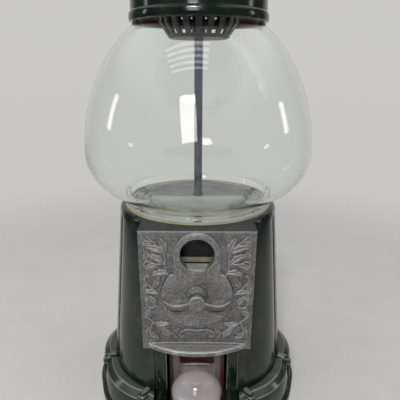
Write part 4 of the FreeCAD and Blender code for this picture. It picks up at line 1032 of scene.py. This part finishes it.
# %% Foot with its saddle ribs
rib_stations = [(75.0, 3.2, 37.2), (77.5, 3.2, 37.5), (83.0, 3.4, 37.3), (87.0, 3.6, 36.4), (89.4, 3.6, 33.5)]
rib_foot_z, slope_z, rim_radius, front_half, top_draw = 29, 34.9, 82, 36, 3.6
rib_sections = []
for radius, half_width, top in rib_stations:
    right = [(0.25, top), (0.72, top - 0.7), (1, top - 2.6), (1, rib_foot_z)]
    arch = [(-x, z) for x, z in right[::-1]] + right
    rib_sections.append([(half_width * x, -radius, z) for x, z in arch])
saddle = lofted("saddle", rib_sections)
apply_modifier(saddle, "SUBSURF", levels=2, render_levels=2)


def sloped_top(point):
    """Draws the foot's upper edge in, so that a broad slope leads up to it."""
    radius = math.hypot(point.x, point.y)
    if point.z < slope_z or radius < rim_radius:
        return point
    if abs(point.x) < front_half and point.y < 0:
        return point + Vector((0, top_draw, 0))
    return Vector((point.x * (1 - top_draw / radius), point.y * (1 - top_draw / radius), point.z))


foot_casting = softened_copy("foot_casting", "foot_ring", outer_edge(2.5, 37, 66), 0.6, sloped_top)
foot_casting = joined("foot_casting", [foot_casting] + turned_copies(saddle, groove_angles))
finish_piece(foot_casting, "base", "green_enamel", "foot_ring", smooth=28)


# %% [markdown]
# ## Flap
# The mouth is closed by a clear moulded flap: a leaf on a hinge knuckle, with a hollow dome at its foot
# that the ball rolls into. Clear plastic only looks right as one closed wall, because each hidden face
# inside it would bend the light again. So solid forms are merged first, and the hollow is cut out last.

# %% Solid forms for the flap
dome_z, dome_y, dome_radius, dome_wall = 28.7, -60.0, 21.3, 2.0
flap_half, flap_front_y, flap_back_y = 19.8, -58.5, -56.0
gap_half, gap_low_z, gap_high_z = 14.5, 52.5, 72.5
hinge_y, hinge_z, knuckle_radius, pin_radius = -55.5, 77.0, 3.0, 1.7


def dome_form(name, radius, back_y):
    """A solid with a round front: a short drum and a half ball, along Y."""
    turns = [math.pi / 40 * i for i in range(21)]
    nose = [(radius * math.cos(t), dome_y - radius * math.sin(t)) for t in turns]
    return spun(name, [(0, back_y), (radius, back_y)] + nose, 80, "Y", (0, 0, dome_z))


def slab(name, low, high, round_mm, test):
    """A block between two corners, in millimetres, with the edges that pass a test rounded."""
    only()
    middle = [(a + b) / 2 for a, b in zip(low, high)]
    bpy.ops.mesh.primitive_cube_add(size=1, location=mm(*middle))
    piece = new_piece(name)
    bpy.ops.transform.resize(value=mm(*[b - a for a, b in zip(low, high)]))
    bpy.ops.object.transform_apply(location=True, scale=True)
    with editing(piece):
        pick_edges(test)
        bpy.ops.mesh.bevel(offset=round_mm * 0.001, segments=4)
    return piece


def edges_along_y(half, y):
    """A test for the four edges of a slab that run from front to back, half its width from the middle."""
    return lambda middle: abs(abs(middle.x) - half) < 0.1 and abs(middle.y - y) < 1


def rod_along_x(name, radius, half):
    """A round bar across the machine at the hinge."""
    only()
    bpy.ops.mesh.primitive_cylinder_add(vertices=48, radius=radius * 0.001, depth=half * 0.002,
                                        location=mm(0, hinge_y, hinge_z), rotation=(0, math.pi / 2, 0))
    return new_piece(name)


print("flap", round(2 * flap_half, 1), "mm wide, dome", round(2 * dome_radius, 1), "mm")


# %% Flap
flap_moulding = slab("flap_moulding", (-flap_half, flap_front_y, dome_z), (flap_half, flap_back_y, hinge_z),
                     0.6, lambda middle: middle.y < flap_front_y + 0.5 and abs(middle.x) > flap_half - 0.8)
gap = slab("gap", (-gap_half, -70, gap_low_z), (gap_half, -50, gap_high_z), 3.0, edges_along_y(gap_half, -60))
merge_with(flap_moulding, gap, "DIFFERENCE")
merge_with(flap_moulding, rod_along_x("knuckle", knuckle_radius, flap_half - 0.1), "UNION")
merge_with(flap_moulding, dome_form("dome", dome_radius, flap_back_y - 0.05), "UNION")
merge_with(flap_moulding, dome_form("bowl", dome_radius - dome_wall, flap_back_y + 2), "DIFFERENCE")
merge_with(flap_moulding, rod_along_x("pin_hole", pin_radius, 30), "DIFFERENCE")
finish_piece(flap_moulding, "flap", "clear_plastic", "chute_flap", smooth=30)


# %% [markdown]
# ## Cage under the lid
# A tapered plastic cage hangs under the lid round the rod, and a ring of tall windows lets light through it.
# It is turned like the globe, floor and tube included, and one window shape is copied round the axis
# and cut out of the wall, so every bar between two windows comes out the same.

# %% Cage
pane_count, pane_half, pane_low_z, pane_high_z = 20, 2.3, 313.0, 322.5
cage_outline = [(4.3, 310.5), (23.2, 310.5, 0.6), (38.0, 332.5, 0.4), (50.0, 332.5, 0.2), (50.0, 334.0, 0.2),
                (36.4, 334.0, 0.4), (22.0, 312.3, 0.4), (5.2, 312.3, 0.4), (5.2, 354.0, 0.2),
                (4.3, 354.0, 0.2), (4.3, 310.5)]
lid_cage = spun("lid_cage", rounded(cage_outline, 0.4, steps=3), steps=120)
pane = slab("pane", (-pane_half, -42, pane_low_z), (pane_half, -12, pane_high_z), 0.7,
            edges_along_y(pane_half, -27))
panes = turned_copies(pane, [360 / pane_count * (i + 0.5) for i in range(pane_count)])
merge_with(lid_cage, joined("panes", panes), "DIFFERENCE")
finish_piece(lid_cage, "lid", "grey_plastic", "lid_basket", smooth=30)
lid_cage.data.materials[0] = smoked


# %% [markdown]
# ## Seal
# A soft ring plugs the globe's neck and cushions the lid. Rubber has rolled edges, so the CAD outline is
# drawn again with small arcs and spun. Its skirt ends level with the lid's rim, where it just shows.

# %% Seal
seal_outline = [(44.4, 330.0), (44.4, 321.6, 0.8), (46.6, 321.6, 0.8), (46.6, 330.02, 0.2),
                (49.9, 330.02, 0.4), (49.9, 332.45, 0.6), (42.1, 332.45, 0.6), (42.1, 330.0, 0.4),
                (44.4, 330.0)]
seal_ring = spun("seal_ring", rounded(seal_outline, 0.5, steps=3), steps=128)
finish_piece(seal_ring, "lid", "red_seal", "lid_seal", smooth=50)
